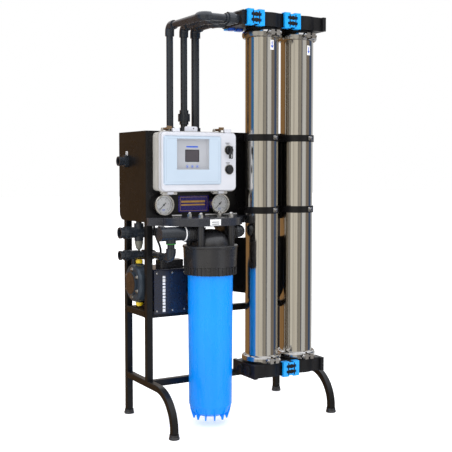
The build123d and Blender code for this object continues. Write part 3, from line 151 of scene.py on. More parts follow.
ink_blue = surface("ink_blue", (0.02, 0.08, 0.50), (0.04, 0.12, 0.60), (0.35, 0.50), patch=200)
clear_glass = surface("clear_glass", (0.97, 0.98, 1.0), (1.0, 1.0, 1.0), (0.02, 0.05), bump=0.005,
                      Transmission_Weight=1.0, IOR=1.2)
cap_black = surface("cap_polypropylene", (0.014, 0.014, 0.016), (0.024, 0.024, 0.027), (0.24, 0.36),
                    grain=1100, bump=0.14, Coat_Weight=0.35, Coat_Roughness=0.25)
sump_blue = surface("sump_polypropylene", (0.0, 0.245, 0.88), (0.0, 0.295, 0.96), (0.22, 0.34),
                    stretch=(1, 1, 0.25), patch=9, grain=500, bump=0.06, Specular_IOR_Level=0.35,
                    Coat_Weight=0.1, Coat_Roughness=0.12)
spun_fibre = surface("spun_fibre", (0.70, 0.70, 0.66), (0.85, 0.85, 0.82), (0.80, 0.95), grain=1600,
                     bump=0.6)
pump_grey = surface("pump_casting", (0.030, 0.043, 0.060), (0.050, 0.068, 0.090), (0.30, 0.46), patch=30,
                    grain=900, bump=0.25, Metallic=0.35)
# Dark brown for the pump's left face: painted reflection of the warm surroundings.
painted_reflection_brown = surface("pump_face_painted_reflection", (0.040, 0.022, 0.012), (0.070, 0.040, 0.022), (0.26, 0.40),
                     patch=30, Metallic=0.3)
yellow = surface("plug_yellow", (0.80, 0.56, 0.01), (0.88, 0.64, 0.02), (0.28, 0.40), patch=60)
navy_paint = surface("cover_navy", (0.006, 0.008, 0.020), (0.010, 0.013, 0.030), (0.22, 0.34), grain=1000,
                     bump=0.12, Coat_Weight=0.4, Coat_Roughness=0.2)
vessel_steel = surface("vessel_steel", (0.60, 0.575, 0.53), (0.70, 0.68, 0.64), (0.07, 0.16),
                       stretch=(24, 24, 0.5), patch=5, grain=60, bump=0.03, Metallic=1.0)
wrap_white = surface("membrane_wrap", (0.70, 0.72, 0.74), (0.80, 0.82, 0.84), (0.35, 0.55), patch=20)
block_black = surface("block_black", (0.007, 0.007, 0.008), (0.012, 0.012, 0.014), (0.32, 0.48), grain=900,
                      bump=0.2, Specular_IOR_Level=0.30)
clip_blue = surface("clip_blue", (0.0, 0.30, 0.80), (0.01, 0.37, 0.88), (0.26, 0.38), patch=40, bump=0.05)
plug_blue = surface("plug_blue", (0.003, 0.05, 0.36), (0.006, 0.08, 0.46), (0.28, 0.42), patch=40)
slate_pipe = surface("slate_pipe", (0.012, 0.015, 0.021), (0.020, 0.025, 0.033), (0.20, 0.34),
                     stretch=(1, 1, 0.3), patch=16, grain=500, bump=0.08, Coat_Weight=0.25,
                     Coat_Roughness=0.15)
valve_grey = surface("valve_grey", (0.15, 0.15, 0.12), (0.20, 0.20, 0.17), (0.40, 0.55), patch=40)
cable_black = surface("cable_jacket", (0.010, 0.010, 0.011), (0.018, 0.018, 0.019), (0.30, 0.45), patch=60)
label_white = surface("label_white", (0.80, 0.80, 0.81), (0.86, 0.86, 0.87), (0.40, 0.55), patch=80)
sticker_navy = surface("sticker_navy", (0.010, 0.003, 0.15), (0.016, 0.005, 0.20), (0.20, 0.32), patch=60)
sticker_gold = surface("sticker_gold", (0.50, 0.27, 0.05), (0.62, 0.36, 0.08), (0.25, 0.40), patch=90,
                       Metallic=0.4)
thread_tape = surface("thread_tape", (0.80, 0.80, 0.82), (0.90, 0.90, 0.92), (0.45, 0.60), patch=120,
                      bump=0.3)
tape_green = surface("tape_green", (0.02, 0.20, 0.02), (0.03, 0.28, 0.04), (0.35, 0.50), patch=120)

NODE_FINISH = {
    powder: ["posts", "side_legs", "crossbars", "cabinet_cowl", "equipment_plate", "pump_base",
             "vessel_straps"],
    shelf_coat_painted_sheen: ["filter_shelf"],
    cap_black: ["foot_caps", "filter_cap", "relief_button", "terminal_box"],
    box_plastic_painted_shade: ["box_base"],
    box_plastic: ["box_lid"],
    window_plastic: ["lid_window"],
    recess_grey: ["display_panel"],
    screen_glass: ["display_screen"],
    key_blue: ["key_left", "key_middle", "key_right"],
    board_green: ["control_board"],
    foam: ["lid_gasket", "sump_seal"],
    control_black: ["control_bezels", "selector_knob", "push_button"],
    steel: ["hinge_pins", "gauge_cases", "pump_rotor"],
    bronze: ["latch_left", "latch_right"],
    dial_white: ["gauge_dials"],
    clear_glass: ["gauge_glasses"],
    ink_black: ["needle_left", "needle_right"],
    chrome: ["filter_bolts", "v_clamps"],
    sump_blue: ["sump"],
    spun_fibre: ["filter_cartridge"],
    pump_grey: ["pump_head", "motor_body"],
    yellow: ["pump_plugs"],
    navy_paint: ["motor_cover"],
    vessel_steel: ["vessel_left", "vessel_right"],
    wrap_white: ["membrane_elements"],
    block_black: ["top_blocks", "bottom_blocks", "top_inlet_block"],
    clip_blue: ["manifold_clips"],
    plug_blue: ["port_plugs"],
    slate_pipe: ["permeate_riser", "concentrate_riser", "feed_riser", "drain_line", "inlet_line",
                 "filter_outlet_line", "cabinet_port"],
    valve_grey: ["check_valve"],
    cable_black: ["pump_cable"],
}

for finish, names in NODE_FINISH.items():
    for name in names:
        mesh = frame["nodes"][name].data
        mesh.materials.clear()
        mesh.materials.append(finish)


# ---------------------------------------------------------------- mesh helpers
ON_AXIS = 1e-7
SAME_POINT = 1e-6
SHARPEST_CORNER = 1e-5
SMOOTH_BELOW = math.radians(35)


def piece(name, bm, finish, body):
    """Turns a bmesh in row-frame metres into a piece that rides on a body."""
    bmesh.ops.recalc_face_normals(bm, faces=bm.faces)
    mesh = bpy.data.meshes.new(name)
    bm.to_mesh(mesh)
    bm.free()
    mesh.materials.append(finish)
    for polygon in mesh.polygons:
        polygon.use_smooth = True
    mesh.set_sharp_from_angle(angle=SMOOTH_BELOW)
    made = bpy.data.objects.new(name, mesh)
    bpy.context.scene.collection.objects.link(made)
    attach(made, body)
    return made


def facing(direction, up=UP):
    """Rotation whose Z axis is a direction, and whose Y axis is as near to up as it can be."""
    z = Vector(direction).normalized()
    x = Vector(up).cross(z)
    if x.length < SAME_POINT:
        x = Vector((1, 0, 0))
    x.normalize()
    y = z.cross(x)
    return Matrix((x, y, z)).transposed().to_4x4()


def placed(origin, direction, up=UP):
    """Matrix of a local frame at a point, with Z along a direction."""
    return Matrix.Translation(Vector(origin)) @ facing(direction, up)


def shifted(matrix, across, rise, out=0):
    """Matrix of a local frame moved within its own axes."""
    return matrix @ Matrix.Translation((across, rise, out))


def wall(bm, lower, upper):
    """Joins two loops of the same length with a band of faces."""
    for i in range(len(lower)):
        j = (i + 1) % len(lower)
        bm.faces.new([lower[i], lower[j], upper[j], upper[i]])


def closed_stack(bm, loops):
    """Joins loops in order and caps both ends."""
    for lower, upper in zip(loops, loops[1:]):
        wall(bm, lower, upper)
    bm.faces.new(list(reversed(loops[0])))
    bm.faces.new(loops[-1])


def rounded(half_width, half_height, corner, steps):
    """Outline of a rectangle with rounded corners."""
    outline = []
    for sx, sy, start in ((1, 1, 0), (-1, 1, 90), (-1, -1, 180), (1, -1, 270)):
        for step in range(steps + 1):
            angle = math.radians(start + 90 * step / steps)
            outline.append((sx * (half_width - corner) + corner * math.cos(angle),
                            sy * (half_height - corner) + corner * math.sin(angle)))
    return outline


def turn(bm, profile, matrix, segments=40):
    """Adds a turned shape: a closed profile of (radius, height) about the local Z axis."""
    rings = []
    for step in range(segments):
        angle = 2 * math.pi * step / segments
        rings.append([bm.verts.new(matrix @ Vector((r * math.cos(angle), r * math.sin(angle), h)))
                      for r, h in profile])
    for step in range(segments):
        a, b = rings[step], rings[(step + 1) % segments]
        for i in range(len(profile)):
            j = (i + 1) % len(profile)
            if profile[i][0] >= ON_AXIS or profile[j][0] >= ON_AXIS:
                bm.faces.new([a[i], b[i], b[j], a[j]])
    bmesh.ops.remove_doubles(bm, verts=bm.verts, dist=SAME_POINT)


def slab(bm, width, height, thickness, matrix, corner=0.0, bevel=0.0, steps=5):
    """Adds a plate with rounded corners, centred on the local frame and rising along its Z axis."""
    outline = rounded(width / 2, height / 2, max(corner, SHARPEST_CORNER), steps)
    layers = [(0.0, 0.0), (thickness - bevel, 0.0)]
    if bevel:
        layers.append((thickness, bevel))
    loops = []
    for z, inset in layers:
        sx, sy = 1 - 2 * inset / width, 1 - 2 * inset / height
        loops.append([bm.verts.new(matrix @ Vector((x * sx, y * sy, z))) for x, y in outline])
    closed_stack(bm, loops)


def frame_ring(bm, width, height, band, thickness, matrix, corner, steps=8):
    """Adds a flat ring with rounded corners, such as a rim or a seam, rising along the local Z axis."""
    loops = []
    for inset in (0, band):
        outline = rounded(width / 2 - inset, height / 2 - inset, max(corner - inset, 0.2 * MM), steps)
        for z in (0, thickness):
            loops.append([bm.verts.new(matrix @ Vector((x, y, z))) for x, y in outline])
    outer_low, outer_high, inner_low, inner_high = loops
    wall(bm, outer_low, outer_high)
    wall(bm, outer_high, inner_high)
    wall(bm, inner_high, inner_low)
    wall(bm, inner_low, outer_low)


def ring(bm, origin, direction, inner, outer, length, soften=0.5 * MM, segments=56):
    """Adds a ring with softened outer corners."""
    turn(bm, [(inner, 0), (outer - soften, 0), (outer, soften), (outer, length - soften),
              (outer - soften, length), (inner, length)], placed(origin, direction), segments)


def flat_ring(bm, origin, direction, inner, outer, thickness, segments):
    """Adds a printed circle."""
    turn(bm, [(inner, 0), (outer, 0), (outer, thickness), (inner, thickness)],
         placed(origin, direction), segments)


def hexagon(bm, across, height, matrix, chamfer=0.6 * MM):
    """Adds a hexagon head with a chamfered rim."""
    radius = across / math.sqrt(3)
    loops = []
    for r, z in ((radius, 0), (radius, height - chamfer), (radius - chamfer * 1.6, height)):
        corners = [math.radians(60 * k) for k in range(6)]
        loops.append([bm.verts.new(matrix @ Vector((r * math.cos(a), r * math.sin(a), z))) for a in corners])
    closed_stack(bm, loops)


def screw(bm, origin, direction, radius=3.2 * MM):
    """Adds a pan-head screw with a round socket."""
    head = 0.62 * radius
    floor_z = head * 0.45
    turn(bm, [(0, 0), (radius, 0), (radius, head * 0.5), (radius * 0.82, head * 0.9), (radius * 0.5, head),
              (radius * 0.42, head), (radius * 0.38, floor_z), (0, floor_z)], placed(origin, direction), 24)


def bolt(bm, origin, direction, across, height):
    """Adds a hexagon bolt head on a washer."""
    matrix = placed(origin, direction)
    washer, reach = 1.2 * MM, across * 0.92
    turn(bm, [(0, 0), (reach, 0), (reach, washer * 0.7), (across * 0.86, washer), (0, washer)], matrix, 32)
    hexagon(bm, across, height, shifted(matrix, 0, 0, washer))


def knurl(bm, origin, direction, radius, length, count=28, depth=0.9 * MM):
    """Adds grip ribs around a nut."""
    matrix = placed(origin, direction)
    upright = Matrix.Rotation(math.pi / 2, 4, "Y")
    for step in range(count):
        spoke = Matrix.Rotation(2 * math.pi * step / count, 4, "Z")
        seat = Matrix.Translation((radius - depth * 0.4, 0, length / 2))
        slab(bm, length, math.pi * radius / count, depth, matrix @ spoke @ seat @ upright,
             0.4 * MM, 0.2 * MM, 2)


def arc_patch(bm, axis, radius, bearing, width, z_low, z_high, lift=SKIN, steps=14):
    """Adds a thin patch that hugs a vertical cylinder about an axis (x, y), centred on a bearing."""
    half = width / radius / 2
    columns = []
    for step in range(steps + 1):
        angle = bearing - half + 2 * half * step / steps
        column = []
        for r in (radius + lift * 0.1, radius + lift):
            for z in (z_low, z_high):
                column.append(bm.verts.new((axis[0] + r * math.cos(angle), axis[1] + r * math.sin(angle), z)))
        columns.append(column)
    for a, b in zip(columns, columns[1:]):
        for i, j in ((0, 1), (1, 3), (3, 2), (2, 0)):
            bm.faces.new([a[i], b[i], b[j], a[j]])
    for column in (columns[0], columns[-1]):
        bm.faces.new([column[0], column[1], column[3], column[2]])


def stripes(bm, origin, direction, bars, lift=0.12 * MM):
    """Adds plain printed bars: each is (offset across, offset up, width, height) in millimetres."""
    matrix = placed(origin, direction)
    for across, rise, width, height in bars:
        slab(bm, width * MM, height * MM, lift, shifted(matrix, across * MM, rise * MM), steps=1)


def printed(text, size, origin, direction=FRONT):
    """Flat lettering as a bmesh, centred on a point."""
    curve = bpy.data.curves.new("print", "FONT")
    curve.body = text
    curve.size = size
    curve.align_x = "CENTER"
    curve.align_y = "CENTER"
    curve.extrude = PRINT / 2
    holder = bpy.data.objects.new("print", curve)
    mesh = bpy.data.meshes.new_from_object(holder)
    mesh.transform(placed(origin, direction))
    bm = bmesh.new()
    bm.from_mesh(mesh)
    bpy.data.objects.remove(holder)
    bpy.data.meshes.remove(mesh)
    return bm


def merge(bm, other):
    """Adds another bmesh's geometry to bm."""
    scratch = bpy.data.meshes.new("scratch")
    other.to_mesh(scratch)
    other.free()
    bm.from_mesh(scratch)
    bpy.data.meshes.remove(scratch)


# ---------------------------------------------------------------- gauges
dial_low, dial_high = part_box("gauge_dials")
dial_radius = (dial_high.z - dial_low.z) / 2
gauge_z = (dial_high.z + dial_low.z) / 2
gauge_centres = {"left": dial_low.x + dial_radius, "right": dial_high.x - dial_radius}
case_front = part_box("gauge_cases")[0].y
ZERO_BEARING, SWEEP, DIVISIONS = 225, 270, 50
MAJOR_EVERY, NUMBER_EVERY = 5, 10
MAJOR_MARK, MINOR_MARK = (0.75 * MM, 3.6 * MM), (0.35 * MM, 1.9 * MM)
NUMBER_SIZE = 4.6 * MM
# Shares of the dial's radius.
SCALE_RIM, NUMBER_RIM = 0.86, 0.62
CIRCLE_INNER, CIRCLE_OUTER = 0.87, 0.89
BADGE_ROWS = ((0.50, 11.0 * MM), (0.62, 8.0 * MM))

for side, x in gauge_centres.items():
    dial_centre = Vector((x, dial_low.y - SKIN, gauge_z))
    marks = bmesh.new()
    for step in range(DIVISIONS + 1):
        bearing = math.radians(ZERO_BEARING - SWEEP * step / DIVISIONS)
        width, length = MINOR_MARK if step % MAJOR_EVERY else MAJOR_MARK
        spoke = Vector((math.cos(bearing), 0, math.sin(bearing)))
        middle = dial_centre + spoke * (dial_radius * SCALE_RIM - length / 2)
        slab(marks, width, length, PRINT, placed(middle, FRONT, spoke), steps=1)
        if step % NUMBER_EVERY == 0:
            spot = dial_centre + spoke * dial_radius * NUMBER_RIM
            merge(marks, printed(str(step // MAJOR_EVERY), NUMBER_SIZE, spot))
    flat_ring(marks, dial_centre, FRONT, dial_radius * CIRCLE_INNER, dial_radius * CIRCLE_OUTER, PRINT, 64)
    piece(f"dial_scale_{side}", marks, ink_black, "unit")
    badge = bmesh.new()
    for fall, width in BADGE_ROWS:
        slab(badge, width, 1.5 * MM, PRINT, placed(dial_centre - UP * dial_radius * fall, FRONT), 0.5 * MM)
    piece(f"dial_mark_{side}", badge, ink_blue, "unit")
    crimp = bmesh.new()
    crimp_inner, crimp_crest, crimp_outer = (dial_radius + step * MM for step in (0.05, 1.1, 2.2))
    turn(crimp, [(crimp_inner, 0.4 * MM), (crimp_crest, 0), (crimp_outer, 0.3 * MM), (crimp_outer, 1.0 * MM),
                 (crimp_inner, 3.2 * MM)], placed((x, case_front + SEAT, gauge_z), -FRONT), 72)
    piece(f"gauge_bezel_{side}", crimp, chrome, "unit")

# ---------------------------------------------------------------- cabinet and shelf labels
cowl_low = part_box("cabinet_cowl")[0]
shelf_low, shelf_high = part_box("filter_shelf")
mounts = {mount["name"]: mount for mount in frame["record"]["mounts"]}
LABEL_GAP, LABEL_THICKNESS = 0.05 * MM, 0.3 * MM
cowl_face = cowl_low.y - LABEL_GAP

PLATE_WIDTH, PLATE_HEIGHT, PLATE_THICKNESS = 107 * MM, 50 * MM, 0.8 * MM
PLATE_SHIFT, PLATE_RISE = 14 * MM, 1 * MM
PLATE_BARS = [(-2, 7, 84, 6.0), (-2, -3, 84, 4.5), (0, 21, 96, 0.8), (0, -21, 96, 0.8),
              (-47, 0, 0.8, 42), (47, 0, 0.8, 42)]
gauge_middle = sum(gauge_centres.values()) / 2
plate_at = Vector((gauge_middle + PLATE_SHIFT, cowl_face, gauge_z + PLATE_RISE))
plate = bmesh.new()
slab(plate, PLATE_WIDTH, PLATE_HEIGHT, PLATE_THICKNESS, placed(plate_at, FRONT), 2.5 * MM, 0.3 * MM)
piece("name_plate", plate, sticker_navy, "unit")
plate_print = bmesh.new()
stripes(plate_print, plate_at + FRONT * PLATE_THICKNESS, FRONT, PLATE_BARS)
piece("name_plate_bars", plate_print, sticker_gold, "unit")

STRIP_HEIGHT, STRIP_RISE = 4 * MM, 4.4 * MM
STRIPS = ((-167 * MM, 33 * MM), (-45 * MM, 46 * MM), (20 * MM, 56 * MM))
PORT_TAG_WIDTH, PORT_TAG_HEIGHT, PORT_TAG_RISE = 15 * MM, 14 * MM, 24 * MM
strips = bmesh.new()
for middle, width in STRIPS:
    origin = Vector((middle, cowl_face, shelf_high.z + STRIP_RISE))
    slab(strips, width, STRIP_HEIGHT, LABEL_THICKNESS, placed(origin, FRONT), 0.5 * MM)
_, port_y, port_z = mounts["product_port"]["pos_m"]
side_tag = Vector((cowl_low.x - LABEL_GAP, port_y, port_z + PORT_TAG_RISE))
slab(strips, PORT_TAG_WIDTH, PORT_TAG_HEIGHT, LABEL_THICKNESS, placed(side_tag, LEFT), 1 * MM)
piece("pipe_tags", strips, label_white, "unit")
tag_print = bmesh.new()
stripes(tag_print, side_tag + LEFT * LABEL_THICKNESS, LEFT,
        [(0, 3.2, 10, 1.4), (0, 0, 8, 1.4), (0, -3.2, 10, 1.4)])
piece("pipe_tag_print", tag_print, ink_black, "unit")

BOW_HALF, BOW_DEPTH, TAG_BEARING = 0.137, 0.104, math.radians(-95)
SHELF_TAG_WIDTH, SHELF_PRINT_WIDTH, SHELF_TAG_MARGIN = 35 * MM, 24 * MM, 3 * MM
PRINT_ROWS, PRINT_ROW_HALF = (7 * MM, 13 * MM), 1.2 * MM
bow_radius = (BOW_HALF ** 2 + BOW_DEPTH ** 2) / (2 * BOW_DEPTH)
bow_axis = ((shelf_low.x + shelf_high.x) / 2, shelf_low.y + bow_radius)
shelf_tag = bmesh.new()
arc_patch(shelf_tag, bow_axis, bow_radius, TAG_BEARING, SHELF_TAG_WIDTH,
          shelf_low.z + SHELF_TAG_MARGIN, shelf_high.z - SHELF_TAG_MARGIN)
piece("shelf_tag", shelf_tag, label_white, "unit")
shelf_print = bmesh.new()
for rise in PRINT_ROWS:
    arc_patch(shelf_print, bow_axis, bow_radius + SKIN, TAG_BEARING, SHELF_PRINT_WIDTH,
              shelf_low.z + rise - PRINT_ROW_HALF, shelf_low.z + rise + PRINT_ROW_HALF, PRINT)
piece("shelf_tag_print", shelf_print, ink_black, "unit")

# ---------------------------------------------------------------- control box details
lid_low, lid_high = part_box("box_lid")
screen_low, screen_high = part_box("display_screen")
screen_mid = (screen_low + screen_high) / 2
gasket_low, gasket_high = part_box("lid_gasket")
BOX_OVERHANG, BOX_CORNER, RIM_ROOT = 3 * MM, 14 * MM, 0.4 * MM
box_mid = (gasket_low + gasket_high) / 2
box_width = gasket_high.x - gasket_low.x + 2 * BOX_OVERHANG
box_height = gasket_high.z - gasket_low.z + 2 * BOX_OVERHANG


def box_rim(name, y, width, proud, finish, body):
    """Adds a moulded line round the control box at depth y."""
    rim = bmesh.new()
    frame_ring(rim, box_width + 2 * proud, box_height + 2 * proud, proud + RIM_ROOT, width,
               placed((box_mid.x, y, box_mid.z), FRONT), BOX_CORNER + proud)
    piece(name, rim, finish, body)


box_rim("box_seam", gasket_high.y + 1.2 * MM, 0.9 * MM, 0.15 * MM, foam, "unit")
# The base rim, lid rim and lid step take the darker copy of the box plastic: painted shade along the moulded
# lines.
box_rim("box_base_rim", gasket_high.y + 6 * MM, 2.4 * MM, 1.1 * MM, box_plastic_painted_shade, "unit")
box_rim("box_lid_rim", gasket_low.y - 1.6 * MM, 2.4 * MM, 1.1 * MM, box_plastic_painted_shade, "lid")
box_rim("box_lid_step", lid_low.y + 9 * MM, 1.2 * MM, 0.7 * MM, box_plastic_painted_shade, "lid")

SIDES = ((0, 1), (0, -1), (1, 0), (-1, 0))
LINE_GAP = 8 * MM
window_low, window_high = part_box("lid_window")
window_mid = (window_low + window_high) / 2
window_width, window_height = window_high.x - window_low.x, window_high.z - window_low.z
# Two dark lines inside each edge of the window: painted shade along the raised window's bevels.
window_painted_shade_lines = bmesh.new()
for inset, thickness in ((1.6 * MM, 1.2 * MM), (8.5 * MM, 0.6 * MM)):
    reach_x, reach_z = window_width / 2 - inset, window_height / 2 - inset
    for across, rise in SIDES:
        origin = Vector((window_mid.x + across * reach_x, window_low.y + SEAT, window_mid.z + rise * reach_z))
        width = 2 * reach_x - LINE_GAP if rise else thickness
        height = 2 * reach_z - LINE_GAP if across else thickness
        slab(window_painted_shade_lines, width, height, 0.15 * MM, placed(origin, FRONT), 0.3 * MM)
piece("window_painted_shade_lines", window_painted_shade_lines, window_edge_painted_shade, "lid")
BADGE_WIDTH, BADGE_HEIGHT, BADGE_RISE = 40 * MM, 4.4 * MM, 9.5 * MM
badge = bmesh.new()
slab(badge, BADGE_WIDTH, BADGE_HEIGHT, 0.2 * MM,
     placed((screen_mid.x, screen_low.y + 0.25 * MM, screen_high.z + BADGE_RISE), FRONT), 2 * MM)
piece("panel_badge", badge, ink_blue, "lid")
BEZEL_BAND, BEZEL_SINK = 1.6 * MM, 0.3 * MM
bezel = bmesh.new()
screen_width, screen_height = screen_high.x - screen_low.x, screen_high.z - screen_low.z
for across, rise in SIDES:
    origin = screen_mid + Vector((across * screen_width / 2, 0, rise * screen_height / 2))
    origin.y = screen_low.y + BEZEL_SINK
    slab(bezel, abs(rise) * screen_width + BEZEL_BAND, abs(across) * screen_height + BEZEL_BAND, 0.9 * MM,
         placed(origin, FRONT), 0.3 * MM, 0.2 * MM, 2)
piece("screen_bezel", bezel, control_black, "lid")

KEY_PRINT = 0.2 * MM
DROP_STEPS = 12
# Shares of the key's width, the drop's radius and the key's radius in turn.
DROP_RADIUS, DROP_TIP, DROP_FALL, CIRCLE_IN, CIRCLE_OUT = 0.20, 2.1, 0.4, 0.82, 0.96
for side in ("left", "middle", "right"):
    low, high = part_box(f"key_{side}")
    middle = (low + high) / 2
    radius = (high.x - low.x) * DROP_RADIUS
    drop = bmesh.new()
    outline = [(0, DROP_TIP * radius)]
    for step in range(DROP_STEPS + 1):
        angle = math.radians(60 - 300 * step / DROP_STEPS)
        outline.append((radius * math.cos(angle), radius * math.sin(angle)))
    matrix = placed((middle.x, low.y - SEAT, middle.z - radius * DROP_FALL), FRONT)
    closed_stack(drop, [[drop.verts.new(matrix @ Vector((x, y, z))) for x, y in outline]
                        for z in (0, KEY_PRINT)])
    key_radius = (high.x - low.x) / 2
    flat_ring(drop, (middle.x, low.y - SEAT, middle.z), FRONT, key_radius * CIRCLE_IN, key_radius * CIRCLE_OUT,
              KEY_PRINT, 32)
    piece(f"key_drop_{side}", drop, ink_blue, f"key_{side}")

POINTER_WIDTH, POINTER_LENGTH, POINTER_RISE = 1.3 * MM, 11 * MM, 8 * MM
CAPTION_SHIFT, CAPTION_RISE = -4 * MM, 10 * MM
KNOB_COLLAR, BUTTON_COLLAR, AXIS_BELOW_TOP = 13.4 * MM, 14.4 * MM, 10.6 * MM
knob_low, knob_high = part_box("selector_knob")
button_low, button_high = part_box("push_button")
pointer = bmesh.new()
slab(pointer, POINTER_WIDTH, POINTER_LENGTH, 0.25 * MM,
     placed(((knob_low.x + knob_high.x) / 2, knob_low.y - SEAT, knob_low.z + POINTER_RISE), FRONT), 0.5 * MM)
piece("knob_pointer", pointer, label_white, "knob")
captions = bmesh.new()
collars = bmesh.new()
for low, high, radius in ((knob_low, knob_high, KNOB_COLLAR), (button_low, button_high, BUTTON_COLLAR)):
    middle_x = (low.x + high.x) / 2
    origin = Vector((middle_x + CAPTION_SHIFT, lid_low.y - SEAT, high.z + CAPTION_RISE))
    stripes(captions, origin, FRONT, [(0, 0, 15, 1.7), (0, -3.4, 9, 1.2)])
    turn(collars, [(radius, 0), (radius + 1.6 * MM, 0), (radius + 1.4 * MM, 1.1 * MM), (radius, 1.4 * MM)],
         placed((middle_x, lid_low.y, high.z - AXIS_BELOW_TOP), FRONT), 48)
piece("control_captions", captions, ink_black, "lid")
piece("control_rings", collars, steel, "lid")

KEEPER_SIZE = (24 * MM, 11 * MM, 9 * MM)
KEEPER_SHIFT, KEEPER_BACK, KEEPER_FALL = 14 * MM, 16 * MM, 12 * MM
keepers = bmesh.new()
for side in ("left", "right"):
    low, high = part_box(f"latch_{side}")
    keeper_at = (high.x + KEEPER_SHIFT, lid_high.y - KEEPER_BACK, lid_high.z - KEEPER_FALL)
    slab(keepers, *KEEPER_SIZE, placed(keeper_at, FRONT), 3 * MM, 1 * MM)
piece("latch_keepers", keepers, box_plastic, "lid")

# ---------------------------------------------------------------- pipe fittings
# Radius of each port's nut, and how far behind the port's mouth its grip starts.
NUTS = {"drain_port": (18.6 * MM, 16.5 * MM), "inlet_port": (15.6 * MM, 16.5 * MM),
        "product_port": (18.6 * MM, 20.0 * MM)}
GRIP_LENGTH = 17 * MM
THREAD_START, THREAD_PITCH, THREAD_TURNS = 1.2 * MM, 2.4 * MM, 5
grips = bmesh.new()
mouths = bmesh.new()
for name, (nut_radius, nut_start) in NUTS.items():
    mount = mounts[name]
    outward = Vector(mount["axis"])
    mouth = Vector(mount["pos_m"]) + outward * mount["dims"]["length_mm"] * MM / 2
    knurl(grips, mouth - outward * nut_start, -outward, nut_radius, GRIP_LENGTH)
    bore = mount["dims"]["r_mm"] * MM
    for step in range(THREAD_TURNS):
        ring(mouths, mouth - outward * (THREAD_START + THREAD_PITCH * step), -outward,
             bore - 0.9 * MM, bore + 0.05 * MM, 1.1 * MM, 0.2 * MM, 40)
piece("port_threads", mouths, slate_pipe, "unit")
piece("nut_grips", grips, slate_pipe, "unit")

PORT_BELOW_TOP = 27 * MM
RIDGE_START, RIDGE_PITCH, RIDGE_COUNT = 82 * MM, 6 * MM, 6
TAPE_REACH, TEE_RADIUS = 92.5 * MM, 21 * MM
BRANCH_X, BRANCH_REACH = -0.224, 31 * MM
inlet_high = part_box("inlet_line")[1]
cap_low, cap_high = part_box("filter_cap")
cap_mid = (cap_low + cap_high) / 2
port_axis_z = inlet_high.z - PORT_BELOW_TOP
thread = bmesh.new()
for side in (-1, 1):
    for step in range(RIDGE_COUNT):
        start = Vector((cap_mid.x + side * (RIDGE_START - RIDGE_PITCH * step), cap_mid.y, port_axis_z))
        ring(thread, start, (-side, 0, 0), 25.2 * MM, 27.2 * MM, 3 * MM, 1.2 * MM, 64)
piece("port_ridges", thread, control_black, "unit")
tape = bmesh.new()
ring(tape, (cap_mid.x - TAPE_REACH, cap_mid.y, port_axis_z), (1, 0, 0), TEE_RADIUS - 0.5 * MM,
     TEE_RADIUS + 3.4 * MM, 3.2 * MM, 1.0 * MM, 64)
piece("thread_seal_tape", tape, thread_tape, "unit")
band = bmesh.new()
ring(band, (BRANCH_X, cap_mid.y, port_axis_z - BRANCH_REACH), UP, 10 * MM, 15.8 * MM, 2.6 * MM, 0.6 * MM)
piece("green_band", band, tape_green, "unit")

# ---------------------------------------------------------------- vessel tags and straps
VIEW_BEARING = math.atan2(-LOOK_Y, -LOOK_X)
CLAMP_BEARING = VIEW_BEARING + math.radians(46)
SHELL_RADIUS, STRAP_RADIUS = 52 * MM, 55.5 * MM
# Each tag's bearing from the camera's side, and the height of its top edge.
TAGS = {"left": (34, 1180 * MM), "right": (40, 1172 * MM)}
TAG_WIDTH, TAG_HEIGHT = 13 * MM, 30 * MM
SHAFT_WIDTH, SHAFT_TOP, SHAFT_END = 3 * MM, 5 * MM, 17 * MM
BARB_WIDTH, BARB_TAPER, BARB_STEP, BARB_HEIGHT, BARB_ROWS = 8.4 * MM, 1.9 * MM, 1.7 * MM, 2 * MM, 5
CLAMP_SIZE = (20 * MM, 13 * MM, 3.4 * MM)
CLAMP_SINK, BOLT_RISE = 0.6 * MM, 3.2 * MM
tag = bmesh.new()
arrows = bmesh.new()
clamps = bmesh.new()
for side, (offset, top) in TAGS.items():
    low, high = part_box(f"vessel_{side}")
    axis = ((low.x + high.x) / 2, (low.y + high.y) / 2)
    bearing = VIEW_BEARING + math.radians(offset)
    arc_patch(tag, axis, SHELL_RADIUS, bearing, TAG_WIDTH, top - TAG_HEIGHT, top)
    arc_patch(arrows, axis, SHELL_RADIUS + SKIN, bearing, SHAFT_WIDTH, top - SHAFT_END, top - SHAFT_TOP, PRINT)
    for step in range(BARB_ROWS):
        row_top = top - SHAFT_END - BARB_STEP * step
        arc_patch(arrows, axis, SHELL_RADIUS + SKIN, bearing, BARB_WIDTH - BARB_TAPER * step,
                  row_top - BARB_HEIGHT, row_top, PRINT, 4)
    outward = Vector((math.cos(CLAMP_BEARING), math.sin(CLAMP_BEARING), 0))
    for z in STRAP_Z:
        seat = Vector((*axis, z)) + outward * (STRAP_RADIUS - CLAMP_SINK)
        slab(clamps, *CLAMP_SIZE, placed(seat, outward), 3 * MM, 0.8 * MM)
        bolt(clamps, seat + outward * BOLT_RISE, outward, 8 * MM, 4 * MM)
piece("vessel_tags", tag, label_white, "unit")
piece("flow_arrows", arrows, ink_blue, "unit")
piece("strap_clamps", clamps, chrome, "unit")

# ---------------------------------------------------------------- manifold details
clip_low, clip_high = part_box("manifold_clips")
block_low, block_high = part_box("top_blocks")
low_block_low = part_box("bottom_blocks")[0]
inlet_block_low, inlet_block_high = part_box("top_inlet_block")
top_mid = (block_high.z + inlet_block_low.z) / 2
low_mid = low_block_low.z + 21.25 * MM
seams = (inlet_block_high.x, (block_low.x + block_high.x) / 2)
PIN_SINK, STUD_RADIUS, STUD_TOP = 0.4 * MM, 6.6 * MM, 2.2 * MM
pins = bmesh.new()


